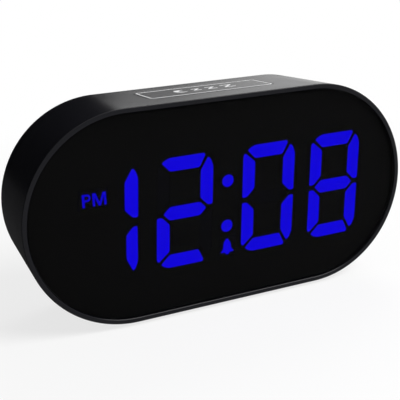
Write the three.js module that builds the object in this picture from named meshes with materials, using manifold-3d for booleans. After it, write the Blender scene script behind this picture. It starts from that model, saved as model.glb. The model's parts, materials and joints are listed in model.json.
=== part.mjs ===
// Bedside alarm clock: an oval sleeve with a smoked window, a four-figure LED display and a snooze key.
// Millimetres, +Z up, the front faces -Y. Every piece is drawn about the middle of the case; the group
// that carries them stands the clock on z = 0, with the origin under the middle of the case.
import * as THREE from 'three';
import { mergeVertices } from 'three/addons/utils/BufferGeometryUtils.js';
import Module from 'manifold-3d';

// Case
const caseWidth = 135;
const caseHeight = 69;
const caseDepth = 34.5;
const endDraft = 2.1; // how far each round end draws in towards the back
const topDraft = 1.2; // how far the top and the bottom draw in towards the back
const wall = 2;
const edgeRound = 0.9;
const caseArc = 20; // steps of each round end
const rimWidth = 1.57; // visible width of the rim round the window
const ledgeWidth = 2.6; // seat for the window and the mask, inside the rim
const ledgeThick = 1.5;
const ribThick = 1.4;

// Running clearances
const stackGap = 0.1; // between flat faces that lie on each other
const fitGap = 0.3; // beside a piece that drops into a seat
const slideGap = 0.25; // beside a piece that moves
const boreGap = 0.1; // round a screw's shank

// Window, mask and display
const windowThick = 1.5;
const grooveWidth = 0.33; // dark line between the rim and the window
const maskThick = 0.5;
const guideThick = 0.8;
const reflectorDepth = 7;
const boardThick = 1.6;
const guideMargin = 1.5;
const displayX = 0.3;
const displayZ = -1.05;
const displayInset = 16; // from the end of the case to the foot of the last figure
const figureInset = 16.5; // from the top of the case to the top of the figures, were they centred
const figureHeight = caseHeight - 2 * figureInset;
const displayReach = caseWidth / 2 - displayInset;
const figureWidth = 0.376 * displayReach;
const strokeWidth = 4.4;
const strokeGap = 1;
const slant = THREE.MathUtils.degToRad(3.4);
const colonPitch = 0.586 * displayReach; // between the figures beside the colon
const dotWidth = 4.3;
const dotSpread = 0.21 * figureHeight;
const wellShrink = 0.55; // back opening of a light well against its front
const ledSize = 1.6;
const ledHeight = 0.8;
const reflectorLip = 1.5; // the reflector and its board stand this far above and below the guide
const displayBossInset = 10.3; // from the end of the case to the display board's bosses
const displayBossSpread = 8;
const pmHeight = 6.4; // window of the afternoon legend, beside the first figure
const bellX = 0.4; // window of the alarm sign, under the colon
const bellWidth = 6;
const bellHeight = 0.187 * figureHeight;
const pegRadius = 1;

// Snooze key, its board and its switch
const snoozeX = 1.4;
const snoozeY = 0.8;
const snoozeLength = 0.33 * caseWidth;
const snoozeWidth = 15.4;
const snoozeCorner = 1.8;
const snoozeSkin = 1.6;
const snoozeFlange = 1.6;
const snoozeTravel = 0.8;
const snoozeBoardDrop = 9.6; // from the top of the case to the snooze board
const snoozeBoardWidth = 9;
const snoozeBossSpread = 0.628 * snoozeLength;
const snoozeLegSpread = 0.381 * snoozeLength;
const snoozeLegRadius = 1.5;

// Screws: two sizes, one for the cover and one for the boards
const coverShank = 1.2;
const coverHead = 2.3;
const screwDepth = 10;
const smallShank = 1;
const smallHead = 1.9;
const smallScrewDepth = 5;
const smallBoss = 2.6;
const headSink = 1; // how far a cover screw's head sits in the cover

// Back cover
const coverThick = 2;
const coverRecess = 1.6; // from the rear rim of the sleeve in to the cover
const coverGap = 0.25;
const bossRadius = 3.2;
const coverScrewInset = 8.2; // from the top or the bottom of the case
const coverScrewEnd = 27.5; // from the end of the case to the upper pair
const baySideRoom = 1.6; // between the battery bay and the bosses of the lower pair

// Controls on the back
const mainBoardDepth = 8.15; // from the cover's inner face to the main board
const mainBoardEnd = 14.5; // from the end of the case to the end of the board
const boardRoom = 1.3; // between the main board and the battery bay, and the snooze board
const standoffEdge = 3.6; // from the top and the bottom edge of the board
const standoffOut = 5.8; // beyond the end of the battery bay
const buttonNames = ['time', 'alarm', 'hour', 'minute'];
const buttonPitch = 15;
const buttonRise = 2.2; // above the middle of the main board
const buttonRadius = 3.2;
const buttonFlange = 1.3;
const buttonTravel = 0.5;
const buttonProud = 1;
const switchSize = 6;
const switchHeight = 3.4;
const plungerHeight = 0.9;
const plungerRadius = 1.7;
const sliderOut = 10; // beyond the standoffs
const sliderPitch = 10;
const sliderTravel = 2.5;
const knobWidth = 3.2;
const knobHeight = 2.4;
const knobProud = 0.8;
const slideSwitchWidth = 8.6;
const wheelLift = 1.8; // between the jack and the potentiometer
const wheelRadius = 5.2;
const wheelThick = 3;
const wheelProud = 0.9;
const wheelRidges = 24;
const potWidth = 8;
const potThick = 2.2;
const axleRadius = 1.3;
const axleTip = 0.4;
const jackSize = 9;
const jackBore = 2.9;

// Battery bay, for two cells of 10.5 x 44.5 mm
const cellRadius = 5.25;
const cellLength = 44.5;
const cellNub = 1;
const cellPitch = 10.8;
const bayInset = 7.65; // from the bottom of the case to the bay
const bayWall = 1.2;
const contactReach = 2.75;
const contactThick = 0.4;
const doorThick = 1.5;
const doorLap = 1;
const tabX = 14;
const tabWidth = 4;
const tabReach = 1.5;

// Parts on the main board
const chipX = 6;
const chipLength = 17.8;
const chipWidth = 7.4;
const chipThick = 2.4;
const pinPitch = 2.1;
const pinCount = 8; // on each side of the chip
const crystalX = -7.7;
const crystalDrop = 2.4; // below the middle of the main board
const crystalLength = 10.8;
const crystalWidth = 4.4;
const crystalThick = 3.4;
const capacitorX = [20, 26.7];
const capacitorRise = 2.5; // above the middle of the main board
const capacitorRadius = 3.15;
const capacitorHeight = 5;

// Speaker, feet and cables
const speakerDepth = 6.85;
const speakerRing = 1.2; // wall of the ring that it stands in
const slotPitch = 2.9;
const slotHeight = 1.4;
const standHeight = 1.2; // under the front edge of the case
const footRadius = 4;
const footX = (caseWidth - caseHeight) / 2 - 0.5; // at the end of the flat bottom
const footY = caseDepth / 2 - 7;
const footSeat = 0.8;
const footFit = 0.15; // round a foot pressed into its seat
const cableThick = 0.8;
const leadWidth = 2.4;
const ribbonX = -20;
const ribbonWidth = 16;
const ribbonRise = 5; // of the fold, above the soldered ends

// Places worked out from the sizes above
const frontY = -caseDepth / 2;
const backY = caseDepth / 2;
const floorZ = -caseHeight / 2 - standHeight;
const maskY = frontY + windowThick + stackGap;
const ledgeY = maskY + maskThick + stackGap;
const cavityY = ledgeY + ledgeThick;
const reflectorY = ledgeY + guideThick + stackGap;
const displayBoardY = reflectorY + reflectorDepth + stackGap;
const displayBackY = displayBoardY + boardThick;
const displayBossX = caseWidth / 2 - displayBossInset;
const coverOutY = backY - coverRecess;
const coverInY = coverOutY - coverThick;
const mainBackY = coverInY - mainBoardDepth;
const mainFrontY = mainBackY - boardThick;
const snoozeBoardZ = caseHeight / 2 - snoozeBoardDrop;
const bayLength = cellLength + 2 * contactReach;
const bayHeight = cellPitch + 2 * (cellRadius + fitGap);
const bayZ = (bayHeight - caseHeight) / 2 + bayInset;
const bayEndX = bayLength / 2 + bayWall;
const bayTopZ = bayZ + bayHeight / 2 + bayWall;
const bayFloorY = coverOutY - doorThick - 2 * fitGap - 2 * cellRadius - stackGap;
const cellY = bayFloorY + fitGap + cellRadius;
const mainBoardTop = snoozeBoardZ - boardThick - boardRoom;
const mainBoardBottom = bayTopZ + boardRoom;
const mainBoardZ = (mainBoardTop + mainBoardBottom) / 2;
const standoffX = bayEndX + standoffOut;
const standoffZ = [mainBoardBottom + standoffEdge, mainBoardTop - standoffEdge];
const buttonZ = mainBoardZ + buttonRise;
const sliderX = -standoffX - sliderOut;
const sliderZ = { alarm: mainBoardZ + sliderPitch / 2, volume: mainBoardZ - sliderPitch / 2 };
const speakerRoom = caseWidth / 2 - endDraft - wall - bayEndX;
const speakerX = bayEndX + 0.47 * speakerRoom;
const speakerZ = -0.194 * caseHeight;
const speakerRadius = 0.31 * speakerRoom;
const ringRadius = speakerRadius + stackGap + speakerRing;
const jackX = speakerX;
const jackZ = speakerZ + ringRadius + fitGap + jackSize / 2;
const wheelX = jackX;
const wheelZ = jackZ + jackSize / 2 + wheelLift + potThick + fitGap + wheelThick / 2;

const colours = {
  shell: [0x17171a, 0.42],
  window: [0x070708, 0.08],
  mask: [0x060607, 0.6],
  guide: [0x0b0b14, 0.45],
  reflector: [0xe8e8e2, 0.5],
  board: [0x1c5a33, 0.5],
  chip: [0x141416, 0.45],
  tin: [0xb9bcc0, 0.3, 1],
  steel: [0x9da0a4, 0.35, 1],
  key: [0x18181b, 0.42],
  button: [0x202024, 0.5],
  rubber: [0x101010, 0.85],
  cell: [0x2f4a63, 0.4],
  cable: [0x8a8d92, 0.5],
};

// ---- Solids ----

const wasm = await Module();
wasm.setup();

// A closed geometry as a solid: shared corners merged, faces without area dropped.
function solid(geometry) {
  geometry.deleteAttribute('normal');
  geometry.deleteAttribute('uv');
  const merged = mergeVertices(geometry, 1e-4);
  const index = merged.index.array;
  const faces = [];
  for (let i = 0; i < index.length; i += 3) {
    const [a, b, c] = [index[i], index[i + 1], index[i + 2]];
    if (a !== b && b !== c && c !== a) faces.push(a, b, c);
  }
  const vertProperties = merged.attributes.position.array;
  return new wasm.Manifold(new wasm.Mesh({ numProp: 3, vertProperties, triVerts: new Uint32Array(faces) }));
}

const join = (first, ...rest) => rest.reduce((body, piece) => body.add(piece), first);
const cut = (first, ...rest) => rest.reduce((body, tool) => body.subtract(tool), first);

// Moves each corner of a geometry by a function of its place.
function reshaped(geometry, move) {
  const place = geometry.attributes.position;
  const corner = new THREE.Vector3();
  for (let i = 0; i < place.count; i += 1) {
    corner.fromBufferAttribute(place, i);
    move(corner);
    place.setXYZ(i, corner.x, corner.y, corner.z);
  }
  return geometry;
}

// The outline pushed through a length, its two edges rounded where asked; arc sets the steps of a curve.
function extruded(shape, length, round, arc) {
  const geometry = new THREE.ExtrudeGeometry(shape, {
    depth: length - 2 * round,
    curveSegments: arc,
    bevelEnabled: round > 0,
    bevelThickness: round,
    bevelSize: round,
    bevelOffset: -round,
    bevelSegments: Math.ceil(round / 0.35),
  });
  return geometry.translate(0, 0, round);
}

// Outline in x and z, pushed along y.
function plateGeometry(shape, yFront, yBack, round = 0, arc = 2) {
  return extruded(shape, yBack - yFront, round, arc).rotateX(Math.PI / 2).translate(0, yBack, 0);
}

const plate = (...args) => solid(plateGeometry(...args));

// Outline in x and y, pushed along z.
function slab(shape, zLow, zHigh, round = 0, arc = 2) {
  return solid(extruded(shape, zHigh - zLow, round, arc).translate(0, 0, zLow));
}

// Outline in y and z, pushed along x.
function bar(shape, xLow, xHigh, arc = 2) {
  const turn = new THREE.Matrix4().set(0, 0, 1, xLow, 1, 0, 0, 0, 0, 1, 0, 0, 0, 0, 0, 1);
  return solid(extruded(shape, xHigh - xLow, 0, arc).applyMatrix4(turn));
}

function block(xLow, xHigh, yLow, yHigh, zLow, zHigh) {
  const geometry = new THREE.BoxGeometry(xHigh - xLow, yHigh - yLow, zHigh - zLow);
  return solid(geometry.translate((xLow + xHigh) / 2, (yLow + yHigh) / 2, (zLow + zHigh) / 2));
}

// Round bar along y.
function rod(x, z, yLow, yHigh, radius, sides = 16) {
  const geometry = new THREE.CylinderGeometry(radius, radius, yHigh - yLow, sides);
  return solid(geometry.translate(x, (yLow + yHigh) / 2, z));
}

// Round bar along z.
function pin(x, y, zLow, zHigh, radius, sides = 16) {
  const geometry = new THREE.CylinderGeometry(radius, radius, zHigh - zLow, sides).rotateX(Math.PI / 2);
  return solid(geometry.translate(x, y, (zLow + zHigh) / 2));
}

// A profile of [radius, height] turned round its own axis, which is y.
function turned(profile, sides = 16) {
  return new THREE.LatheGeometry(profile.map(([r, h]) => new THREE.Vector2(r, h)), sides);
}

// ---- Outlines ----

// Oval of two straight sides and two half circles.
function oval(width, height) {
  const radius = height / 2;
  const half = width / 2 - radius;
  const shape = new THREE.Shape();
  shape.absarc(half, 0, radius, -Math.PI / 2, Math.PI / 2);
  shape.absarc(-half, 0, radius, Math.PI / 2, 1.5 * Math.PI);
  return shape;
}

// Straight edges between corners that are rounded.
function softPolygon(corners, round) {
  const shape = new THREE.Shape();
  corners.forEach((corner, i) => {
    const towards = (end) => corner.clone().lerp(end, Math.min(0.45, round / corner.distanceTo(end)));
    const start = towards(corners.at(i - 1));
    const end = towards(corners[(i + 1) % corners.length]);
    if (i) shape.lineTo(start.x, start.y);
    else shape.moveTo(start.x, start.y);
    shape.quadraticCurveTo(corner.x, corner.y, end.x, end.y);
  });
  shape.closePath();
  return shape;
}

function rectangle(x, z, width, height) {
  const [w, h] = [width / 2, height / 2];
  return [[-w, -h], [w, -h], [w, h], [-w, h]].map(([u, v]) => new THREE.Vector2(x + u, z + v));
}

const softRectangle = (x, z, width, height, round) => softPolygon(rectangle(x, z, width, height), round);

// The case outline, a given distance inside the outer skin, drawn in towards the back as the case is.
function caseForm(inset, yFront, yBack, round = 0) {
  const shape = oval(caseWidth - 2 * inset, caseHeight - 2 * inset);
  const geometry = reshaped(plateGeometry(shape, yFront, yBack, round, caseArc), (corner) => {
    const back = (corner.y - frontY) / caseDepth;
    corner.x *= 1 - back * endDraft / (caseWidth / 2);
    corner.z *= 1 - back * topDraft / (caseHeight / 2);
  });
  return solid(geometry);
}

// Height of the bottom skin of the case at a depth.
const bottomZ = (y) => -caseHeight / 2 + topDraft * (y - frontY) / caseDepth;

// ---- Display ----

// The strokes of one figure, upright and centred: mitred ends, steeper on the right than on the left,
// and outer shoulders drawn round.
function figureStrokes() {
  const [w, h, s, g] = [figureWidth / 2, figureHeight / 2, strokeWidth, strokeGap];
  const top = [[-w + 1.5 * g, h - 1.5 * g], [-w + 2.6 * g, h - 0.6 * g], [-w + 4.2 * g, h],
    [w - 3.3 * g, h], [w - 2.9 * g, h - 0.7 * g], [w - s - 0.4 * g, h - s], [-w + s, h - s]];
  const upperLeft = [[-w, h - 3.5 * g], [-w + 0.3 * g, h - 2.6 * g], [-w + 0.9 * g, h - 2.5 * g],
    [-w + s, h - s - 1.1 * g], [-w + s, s / 2 + 1.4 * g], [-w + 1.7 * g, 0.9 * g], [-w, 0.9 * g]];
  const upperRight = [[w - 1.9 * g, h - 1.4 * g], [w - 0.9 * g, h - 2.3 * g], [w, h - 4.6 * g],
    [w, 0.9 * g], [w - 1.7 * g, 0.9 * g], [w - s, s / 2 + 1.4 * g], [w - s, h - s - 1.2 * g]];
  const middle = [[-w + s / 2, 0], [-w + s, s / 2], [w - s, s / 2], [w - s / 2, 0],
    [w - s, -s / 2], [-w + s, -s / 2]];
  const mirrored = (stroke) => stroke.map(([u, v]) => [u, -v]).reverse();
  const right = [upperRight, mirrored(upperRight)];
  return { right, all: [top, upperLeft, middle, mirrored(top), mirrored(upperLeft), ...right] };
}

// Every lit field of the display, slanted and in place: strokes, colon dots and the two legend windows.
function displayFields() {
  const place = (x) => ([u, v]) => new THREE.Vector2(displayX + x + u + v * Math.tan(slant), displayZ + v);
  const strokes = figureStrokes();
  const centres = [-colonPitch / 2 - pairPitch, -colonPitch / 2, colonPitch / 2, colonPitch / 2 + pairPitch];
  const figures = centres.flatMap((x, i) => (i ? strokes.all : strokes.right).map((s) => s.map(place(x))));
  const around = Array.from({ length: 16 }, (_, i) => i * Math.PI / 8);
  const ring = (v) => around.map((a) => [dotWidth / 2 * Math.cos(a), v + dotWidth / 2 * Math.sin(a)]);
  const dots = [dotSpread, -dotSpread].map((v) => ring(v).map(place(0)));
  const legends = [
    rectangle(centres[0] - figureWidth / 4, figureHeight / 4, figureWidth / 2, pmHeight),
    rectangle(bellX, (bellHeight - figureHeight) / 2, bellWidth, bellHeight),
  ].map((corners) => corners.map(({ x, y }) => place(0)([x, y])));
  return [...figures, ...dots, ...legends];
}

// A convex outline drawn in by a distance.
function drawnIn(corners, distance) {
  const area = THREE.ShapeUtils.area(corners);
  const side = Math.sign(area) * distance;
  return corners.map((corner, i) => {
    const before = corner.clone().sub(corners.at(i - 1)).normalize();
    const after = corners[(i + 1) % corners.length].clone().sub(corner).normalize();
    const middle = new THREE.Vector2(-before.y - after.y, before.x + after.x);
    return corner.clone().addScaledVector(middle, side / (1 + before.dot(after)));
  });
}

const figureLean = Math.tan(slant) * figureHeight / 2;
const pairPitch = displayReach - figureLean - (colonPitch + figureWidth) / 2; // between paired figures
const fields = displayFields();
const fieldCentre = (field) => field.reduce((sum, corner) => sum.add(corner), new THREE.Vector2())
  .divideScalar(field.length);
const guideWidth = 2 * (displayReach + guideMargin);
const guideHeight = figureHeight + 2 * guideMargin;

// Front window: a flush oval sheet in the rim.
function frontWindow() {
  return caseForm(rimWidth + grooveWidth, frontY, frontY + windowThick, 0.2);
}

// Black mask behind the window, open where the display shines through.
function segmentMask() {
  const sheet = caseForm(rimWidth + grooveWidth, maskY, maskY + maskThick);
  const openings = fields.map((f) => plate(new THREE.Shape(f), maskY - 1, maskY + maskThick + 1));
  return cut(sheet, ...openings);
}

// Light guide: a sheet with one raised window for each field, standing in the openings of the mask.
function lightGuide() {
  const outline = softRectangle(displayX, displayZ, guideWidth, guideHeight, 2);
  const sheet = plate(outline, ledgeY, ledgeY + guideThick);
  const raised = fields.map((f) => plate(new THREE.Shape(drawnIn(f, stackGap)), maskY + stackGap,
    ledgeY + guideThick / 2));
  return join(sheet, ...raised);
}

const pegPlaces = [-1, 1].flatMap((x) => [-1, 1].map((z) =>
  [displayX + x * (guideWidth / 2 - 3), displayZ + z * (guideHeight / 2 - 0.2)]));

// Reflector: a white block with a tapering light well behind each field, and pegs for the board.
function ledReflector() {
  const outline = softRectangle(displayX, displayZ, guideWidth, guideHeight + 2 * reflectorLip, 2);
  const body = plate(outline, reflectorY, reflectorY + reflectorDepth);
  const wells = fields.map((field) => {
    const centre = fieldCentre(field);
    const geometry = plateGeometry(new THREE.Shape(field), reflectorY - 1, reflectorY + reflectorDepth + 1);
    return solid(reshaped(geometry, (corner) => {
      const back = (corner.y - reflectorY) / reflectorDepth;
      const size = 1 - (1 - wellShrink) * back;
      corner.x = centre.x + (corner.x - centre.x) * size;
      corner.z = centre.y + (corner.z - centre.y) * size;
    }));
  });
  const pegEnd = reflectorY + reflectorDepth + stackGap + boardThick + 0.6;
  const pegs = pegPlaces.map(([x, z]) => rod(x, z, reflectorY + reflectorDepth - 1, pegEnd, pegRadius, 8));
  return join(cut(body, ...wells), ...pegs);
}

const displayBosses = [-1, 1].flatMap((x) => [-1, 1].map((z) =>
  [x * displayBossX, displayZ + z * displayBossSpread]));

// Display board, with one LED in the back of each light well.
function displayBoard() {
  const height = guideHeight + 2 * reflectorLip;
  const outline = softRectangle(0, displayZ, 2 * (displayBossX + bossRadius), height, 16);
  const board = plate(outline, displayBoardY, displayBackY, 0, 4);
  const leds = fields.map((field) => {
    const { x, y: z } = fieldCentre(field);
    const half = ledSize / 2;
    return block(x - half, x + half, displayBoardY - ledHeight, displayBoardY + 0.2, z - half, z + half);
  });
  const bored = (radius) => ([x, z]) => rod(x, z, displayBoardY - 1, displayBackY + 1, radius, 8);
  const holes = displayBosses.map(bored(smallShank + slideGap));
  const pegHoles = pegPlaces.map(bored(pegRadius + slideGap));
  return cut(join(board, ...leds), ...holes, ...pegHoles);
}

// ---- Sleeve ----

const coverScrewZ = caseHeight / 2 - coverScrewInset;
const upperScrewX = caseWidth / 2 - coverScrewEnd;
const lowerScrewX = bayEndX + baySideRoom + bossRadius;
const coverScrews = [[-upperScrewX, coverScrewZ], [upperScrewX, coverScrewZ],
  [-lowerScrewX, -coverScrewZ], [lowerScrewX, -coverScrewZ]];
const coverBossEnd = coverInY - stackGap;
const displayBossEnd = displayBoardY - stackGap;
const snoozeBosses = [snoozeX - snoozeBossSpread, snoozeX + snoozeBossSpread];

// One-piece sleeve: drafted oval tube, rounded edges, window seat, bosses tied to the wall by ribs.
function housingSleeve() {
  const tube = cut(
    caseForm(0, frontY, backY, edgeRound),
    caseForm(rimWidth, frontY - 1, ledgeY),
    caseForm(rimWidth + ledgeWidth, frontY - 1, backY + 1),
    caseForm(wall, cavityY, backY + 1),
  );
  const inside = caseForm(wall / 2, cavityY - ledgeThick / 2, backY + 1);
  const half = ribThick / 2;
  const coverBosses = coverScrews.flatMap(([x, z]) => {
    const outer = Math.sign(z) * caseHeight / 2;
    return [rod(x, z, cavityY, coverBossEnd, bossRadius),
      block(x - half, x + half, cavityY, coverBossEnd, Math.min(z, outer), Math.max(z, outer))];
  });
  const boardBosses = displayBosses.flatMap(([x, z]) => {
    const outer = Math.sign(x) * caseWidth / 2;
    return [rod(x, z, cavityY - 0.5, displayBossEnd, smallBoss, 12),
      block(Math.min(x, outer), Math.max(x, outer), cavityY - 0.5, displayBossEnd, z - half, z + half)];
  });
  const keyBosses = snoozeBosses.map((x) =>
    pin(x, snoozeY, snoozeBoardZ + stackGap, caseHeight / 2, smallBoss, 12));
  const inner = join(...coverBosses, ...boardBosses, ...keyBosses).intersect(inside);
  const coverBores = coverScrews.map(([x, z]) =>
    rod(x, z, coverBossEnd - screwDepth, coverBossEnd + 1, coverShank + boreGap, 10));
  const boardBores = displayBosses.map(([x, z]) =>
    rod(x, z, displayBossEnd - smallScrewDepth, displayBossEnd + 1, smallShank + boreGap, 8));
  const keyBores = snoozeBosses.map((x) =>
    pin(x, snoozeY, snoozeBoardZ - 1, snoozeBoardZ + smallScrewDepth, smallShank + boreGap, 8));
  const keyOpening = slab(softRectangle(snoozeX, snoozeY, snoozeLength + 2 * slideGap,
    snoozeWidth + 2 * slideGap, snoozeCorner + slideGap), snoozeBoardZ, caseHeight);
  const footSeats = feet.map(({ x, y }) =>
    pin(x, y, floorZ - 1, bottomZ(y) + footSeat, footRadius + footFit));
  return cut(join(tube, inner), ...coverBores, ...boardBores, ...keyBores, keyOpening, ...footSeats);
}

// ---- Feet ----

const feet = [-1, 1].flatMap((x) => [-1, 1].map((y) => ({
  name: `foot_${y < 0 ? 'front' : 'rear'}_${x < 0 ? 'left' : 'right'}`, x: x * footX, y: y * footY,
})));

// Rubber foot, its lower edge rounded; the rear feet are taller, because the bottom rises to the back.
function foot({ x, y }) {
  const top = bottomZ(y) + footSeat - stackGap;
  const r = footRadius;
  const geometry = turned([[0, floorZ], [r - 0.6, floorZ], [r - 0.18, floorZ + 0.18], [r, floorZ + 0.6],
    [r, top], [0, top]]);
  return solid(geometry.rotateX(Math.PI / 2).translate(x, y, 0));
}

// ---- Screws ----

// Pan-head screw along y with a crossed recess; the head's seat is at y = 0 and the shank runs to -y.
function screw(shank, head, headHeight, length, sides, crossed) {
  const body = solid(turned([[0, -length], [shank * 0.5, -length], [shank, -length + shank], [shank, 0],
    [head, 0], [head, headHeight * 0.5], [head * 0.7, headHeight], [0, headHeight]], sides));
  if (!crossed) return body;
  const [arm, half] = [head * 0.5, head * 0.13];
  const recessY = headHeight * 0.4;
  return cut(body, block(-arm, arm, recessY, headHeight + 1, -half, half),
    block(-half, half, recessY, headHeight + 1, -arm, arm));
}

// Each is a little shorter than the bore that it ends in.
const coverScrew = () =>
  screw(coverShank, coverHead, 1.4, coverThick - headSink + stackGap + screwDepth - 1.2, 14, true);
const boardScrew = () =>
  screw(smallShank, smallHead, 1.2, boardThick + stackGap + smallScrewDepth - 1, 8, false);

// ---- Snooze key ----

const switchTop = switchHeight + plungerHeight;
const snoozeUnder = snoozeBoardZ + switchTop + snoozeTravel + stackGap; // lower end of the key's plunger

// Snooze key: flush with the top of the case, hollow, with a flange inside, a plunger and two guide legs.
function snoozeKey() {
  const flangeLow = caseHeight / 2 - topDraft - wall - fitGap - 1.2;
  const outline = softRectangle(snoozeX, snoozeY, snoozeLength, snoozeWidth, snoozeCorner);
  const cap = slab(outline, flangeLow, caseHeight).intersect(caseForm(0, frontY, backY));
  const flange = slab(softRectangle(snoozeX, snoozeY, snoozeLength + 2 * snoozeFlange,
    snoozeWidth + 2 * snoozeFlange, snoozeCorner), flangeLow, caseHeight)
    .intersect(caseForm(wall + fitGap, frontY, backY));
  const hollow = slab(softRectangle(snoozeX, snoozeY, snoozeLength - 2 * snoozeSkin,
    snoozeWidth - 2 * snoozeSkin, snoozeCorner / 2), flangeLow - 1, caseHeight)
    .intersect(caseForm(snoozeSkin, frontY, backY));
  const ceiling = caseHeight / 2 - topDraft - snoozeSkin / 2;
  const plunger = pin(snoozeX, snoozeY, snoozeUnder, ceiling, 2.2, 12);
  const legs = [-1, 1].map((side) => pin(snoozeX + side * snoozeLegSpread, snoozeY,
    snoozeBoardZ - boardThick - snoozeTravel, ceiling, snoozeLegRadius, 10));
  const web = block(snoozeX - snoozeLegSpread, snoozeX + snoozeLegSpread, snoozeY - 0.5, snoozeY + 0.5,
    snoozeUnder + 0.6, ceiling);
  return join(cut(join(cap, flange), hollow), plunger, web, ...legs);
}

function snoozeBoard() {
  const outline = softRectangle(snoozeX, snoozeY, 2 * (snoozeBossSpread + 3), snoozeBoardWidth, 1.5);
  const low = snoozeBoardZ - boardThick;
  const holes = snoozeBosses.map((x) => pin(x, snoozeY, low - 1, snoozeBoardZ + 1, smallShank + slideGap, 8));
  const guides = [-1, 1].map((side) => pin(snoozeX + side * snoozeLegSpread, snoozeY, low - 1,
    snoozeBoardZ + 1, snoozeLegRadius + slideGap, 10));
  return cut(slab(outline, low, snoozeBoardZ), ...holes, ...guides);
}

// Push switch standing on y = 0 and pointing along +y: square body and round plunger.
function pushSwitch() {
  const body = plate(softRectangle(0, 0, switchSize, switchSize, 0.5), stackGap, switchHeight, 0, 1);
  return join(body, rod(0, 0, switchHeight - 0.2, switchTop, plungerRadius, 12));
}

// ---- Back cover ----

const wheelY = coverOutY + wheelProud - wheelRadius;
const doorZ = { low: bayZ - bayHeight / 2 - doorLap, high: bayZ + bayHeight / 2 + doorLap };
const doorHalf = bayLength / 2 + doorLap;
const cells = [1, -1].map((side) => ({ z: bayZ + side * cellPitch / 2, side }));
const contactX = bayLength / 2 - stackGap - contactThick;

// Sound slots: level slots, each as long as the circle in front of the cone allows.
function soundSlots() {
  const reach = speakerRadius - 2;
  const count = Math.floor(reach / slotPitch);
  return Array.from({ length: 2 * count + 1 }, (_, i) => (i - count) * slotPitch).map((offset) => {
    const length = 2 * Math.sqrt(reach ** 2 - offset ** 2);
    const outline = softRectangle(speakerX, speakerZ + offset, length, slotHeight, 0.6);
    return plate(outline, coverInY - 1, coverOutY + 1, 0, 1);
  });
}

// Back cover: recessed oval plate with the battery bay, speaker ring and standoffs moulded on its inside.
function rearCover() {
  const panel = caseForm(wall + coverGap, coverInY, coverOutY);
  const inside = coverInY + 0.2;
  const bay = block(-bayEndX, bayEndX, bayFloorY - bayWall, inside,
    bayTopZ - bayHeight - 2 * bayWall, bayTopZ);
  const ring = cut(rod(speakerX, speakerZ, coverInY - 2.5, inside, ringRadius, 24),
    rod(speakerX, speakerZ, coverInY - 3, coverInY, speakerRadius + stackGap, 24));
  const posts = standoffs.map(([x, z]) => rod(x, z, mainBackY + stackGap, inside, smallBoss, 12));
  const hollow = block(-bayLength / 2, bayLength / 2, bayFloorY, coverOutY + 1,
    bayZ - bayHeight / 2, bayZ + bayHeight / 2);
  const doorSeat = block(-doorHalf - slideGap, doorHalf + slideGap, coverOutY - doorThick - stackGap,
    coverOutY + 1, doorZ.low - slideGap, doorZ.high + slideGap);
  const tabNotches = [-tabX, tabX].map((x) => block(x - tabWidth / 2 - slideGap, x + tabWidth / 2 + slideGap,
    coverInY - 2.4, coverInY, doorZ.low - tabReach - slideGap, bayZ));
  const tagSlots = cells.map(({ z }) => block(contactX - slideGap, bayLength / 2, bayFloorY - bayWall - 1,
    bayFloorY + 1, z - 1 - slideGap, z + 1 + slideGap));
  const buttonHoles = buttons.map(({ x }) =>
    rod(x, buttonZ, inside - 1, coverOutY + 1, buttonRadius + slideGap));
  const sliderHoles = Object.values(sliderZ).map((z) => plate(softRectangle(sliderX, z,
    knobWidth + sliderTravel + 2 * slideGap, knobHeight + 2 * slideGap, 0.4), inside - 1, coverOutY + 1));
  const wheelChord = Math.sqrt(wheelRadius ** 2 - (coverInY - wheelY) ** 2) + slideGap;
  const wheelHole = block(wheelX - wheelChord, wheelX + wheelChord, inside - 1, coverOutY + 1,
    wheelZ - wheelThick / 2 - fitGap, wheelZ + wheelThick / 2 + fitGap);
  const jackHole = rod(jackX, jackZ, inside - 1, coverOutY + 1, jackSize / 2);
  const screwHoles = coverScrews.flatMap(([x, z]) => [
    rod(x, z, coverInY - 1, coverOutY + 1, coverShank + slideGap, 10),
    rod(x, z, coverOutY - headSink, coverOutY + 1, coverHead + slideGap)]);
  const bores = standoffs.map(([x, z]) => rod(x, z, mainBackY, mainBackY + smallScrewDepth,
    smallShank + boreGap, 8));
  return cut(join(panel, bay, ring, ...posts), hollow, doorSeat, ...tabNotches, ...tagSlots, ...buttonHoles,
    ...sliderHoles, wheelHole, jackHole, ...screwHoles, ...bores, ...soundSlots());
}

// Battery door: flush lid with two hooked tabs at the bottom and a latch tongue at the top.
function batteryDoor() {
  const inner = coverOutY - doorThick;
  const lid = plate(softRectangle(0, (doorZ.low + doorZ.high) / 2, 2 * doorHalf, doorZ.high - doorZ.low, 0.5),
    inner, coverOutY);
  const hookBack = coverInY - fitGap;
  const tabs = [-tabX, tabX].map((x) => join(
    block(x - tabWidth / 2, x + tabWidth / 2, hookBack - 1, hookBack, doorZ.low - tabReach + fitGap,
      doorZ.low + doorLap + 1.6),
    block(x - tabWidth / 2, x + tabWidth / 2, hookBack - 1, inner + 0.2, doorZ.low + doorLap + fitGap,
      doorZ.low + doorLap + 1.6)));
  const latchTop = doorZ.high - doorLap - 2 * fitGap;
  const latch = block(-5, 5, inner - 1.8, inner + 0.2, latchTop - 1, latchTop);
  const thumb = plate(softRectangle(0, doorZ.high - 2.4, 12, 2.8, 1.2), coverOutY - 0.6, coverOutY + 1);
  return cut(join(lid, latch, ...tabs), thumb);
}

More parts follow.
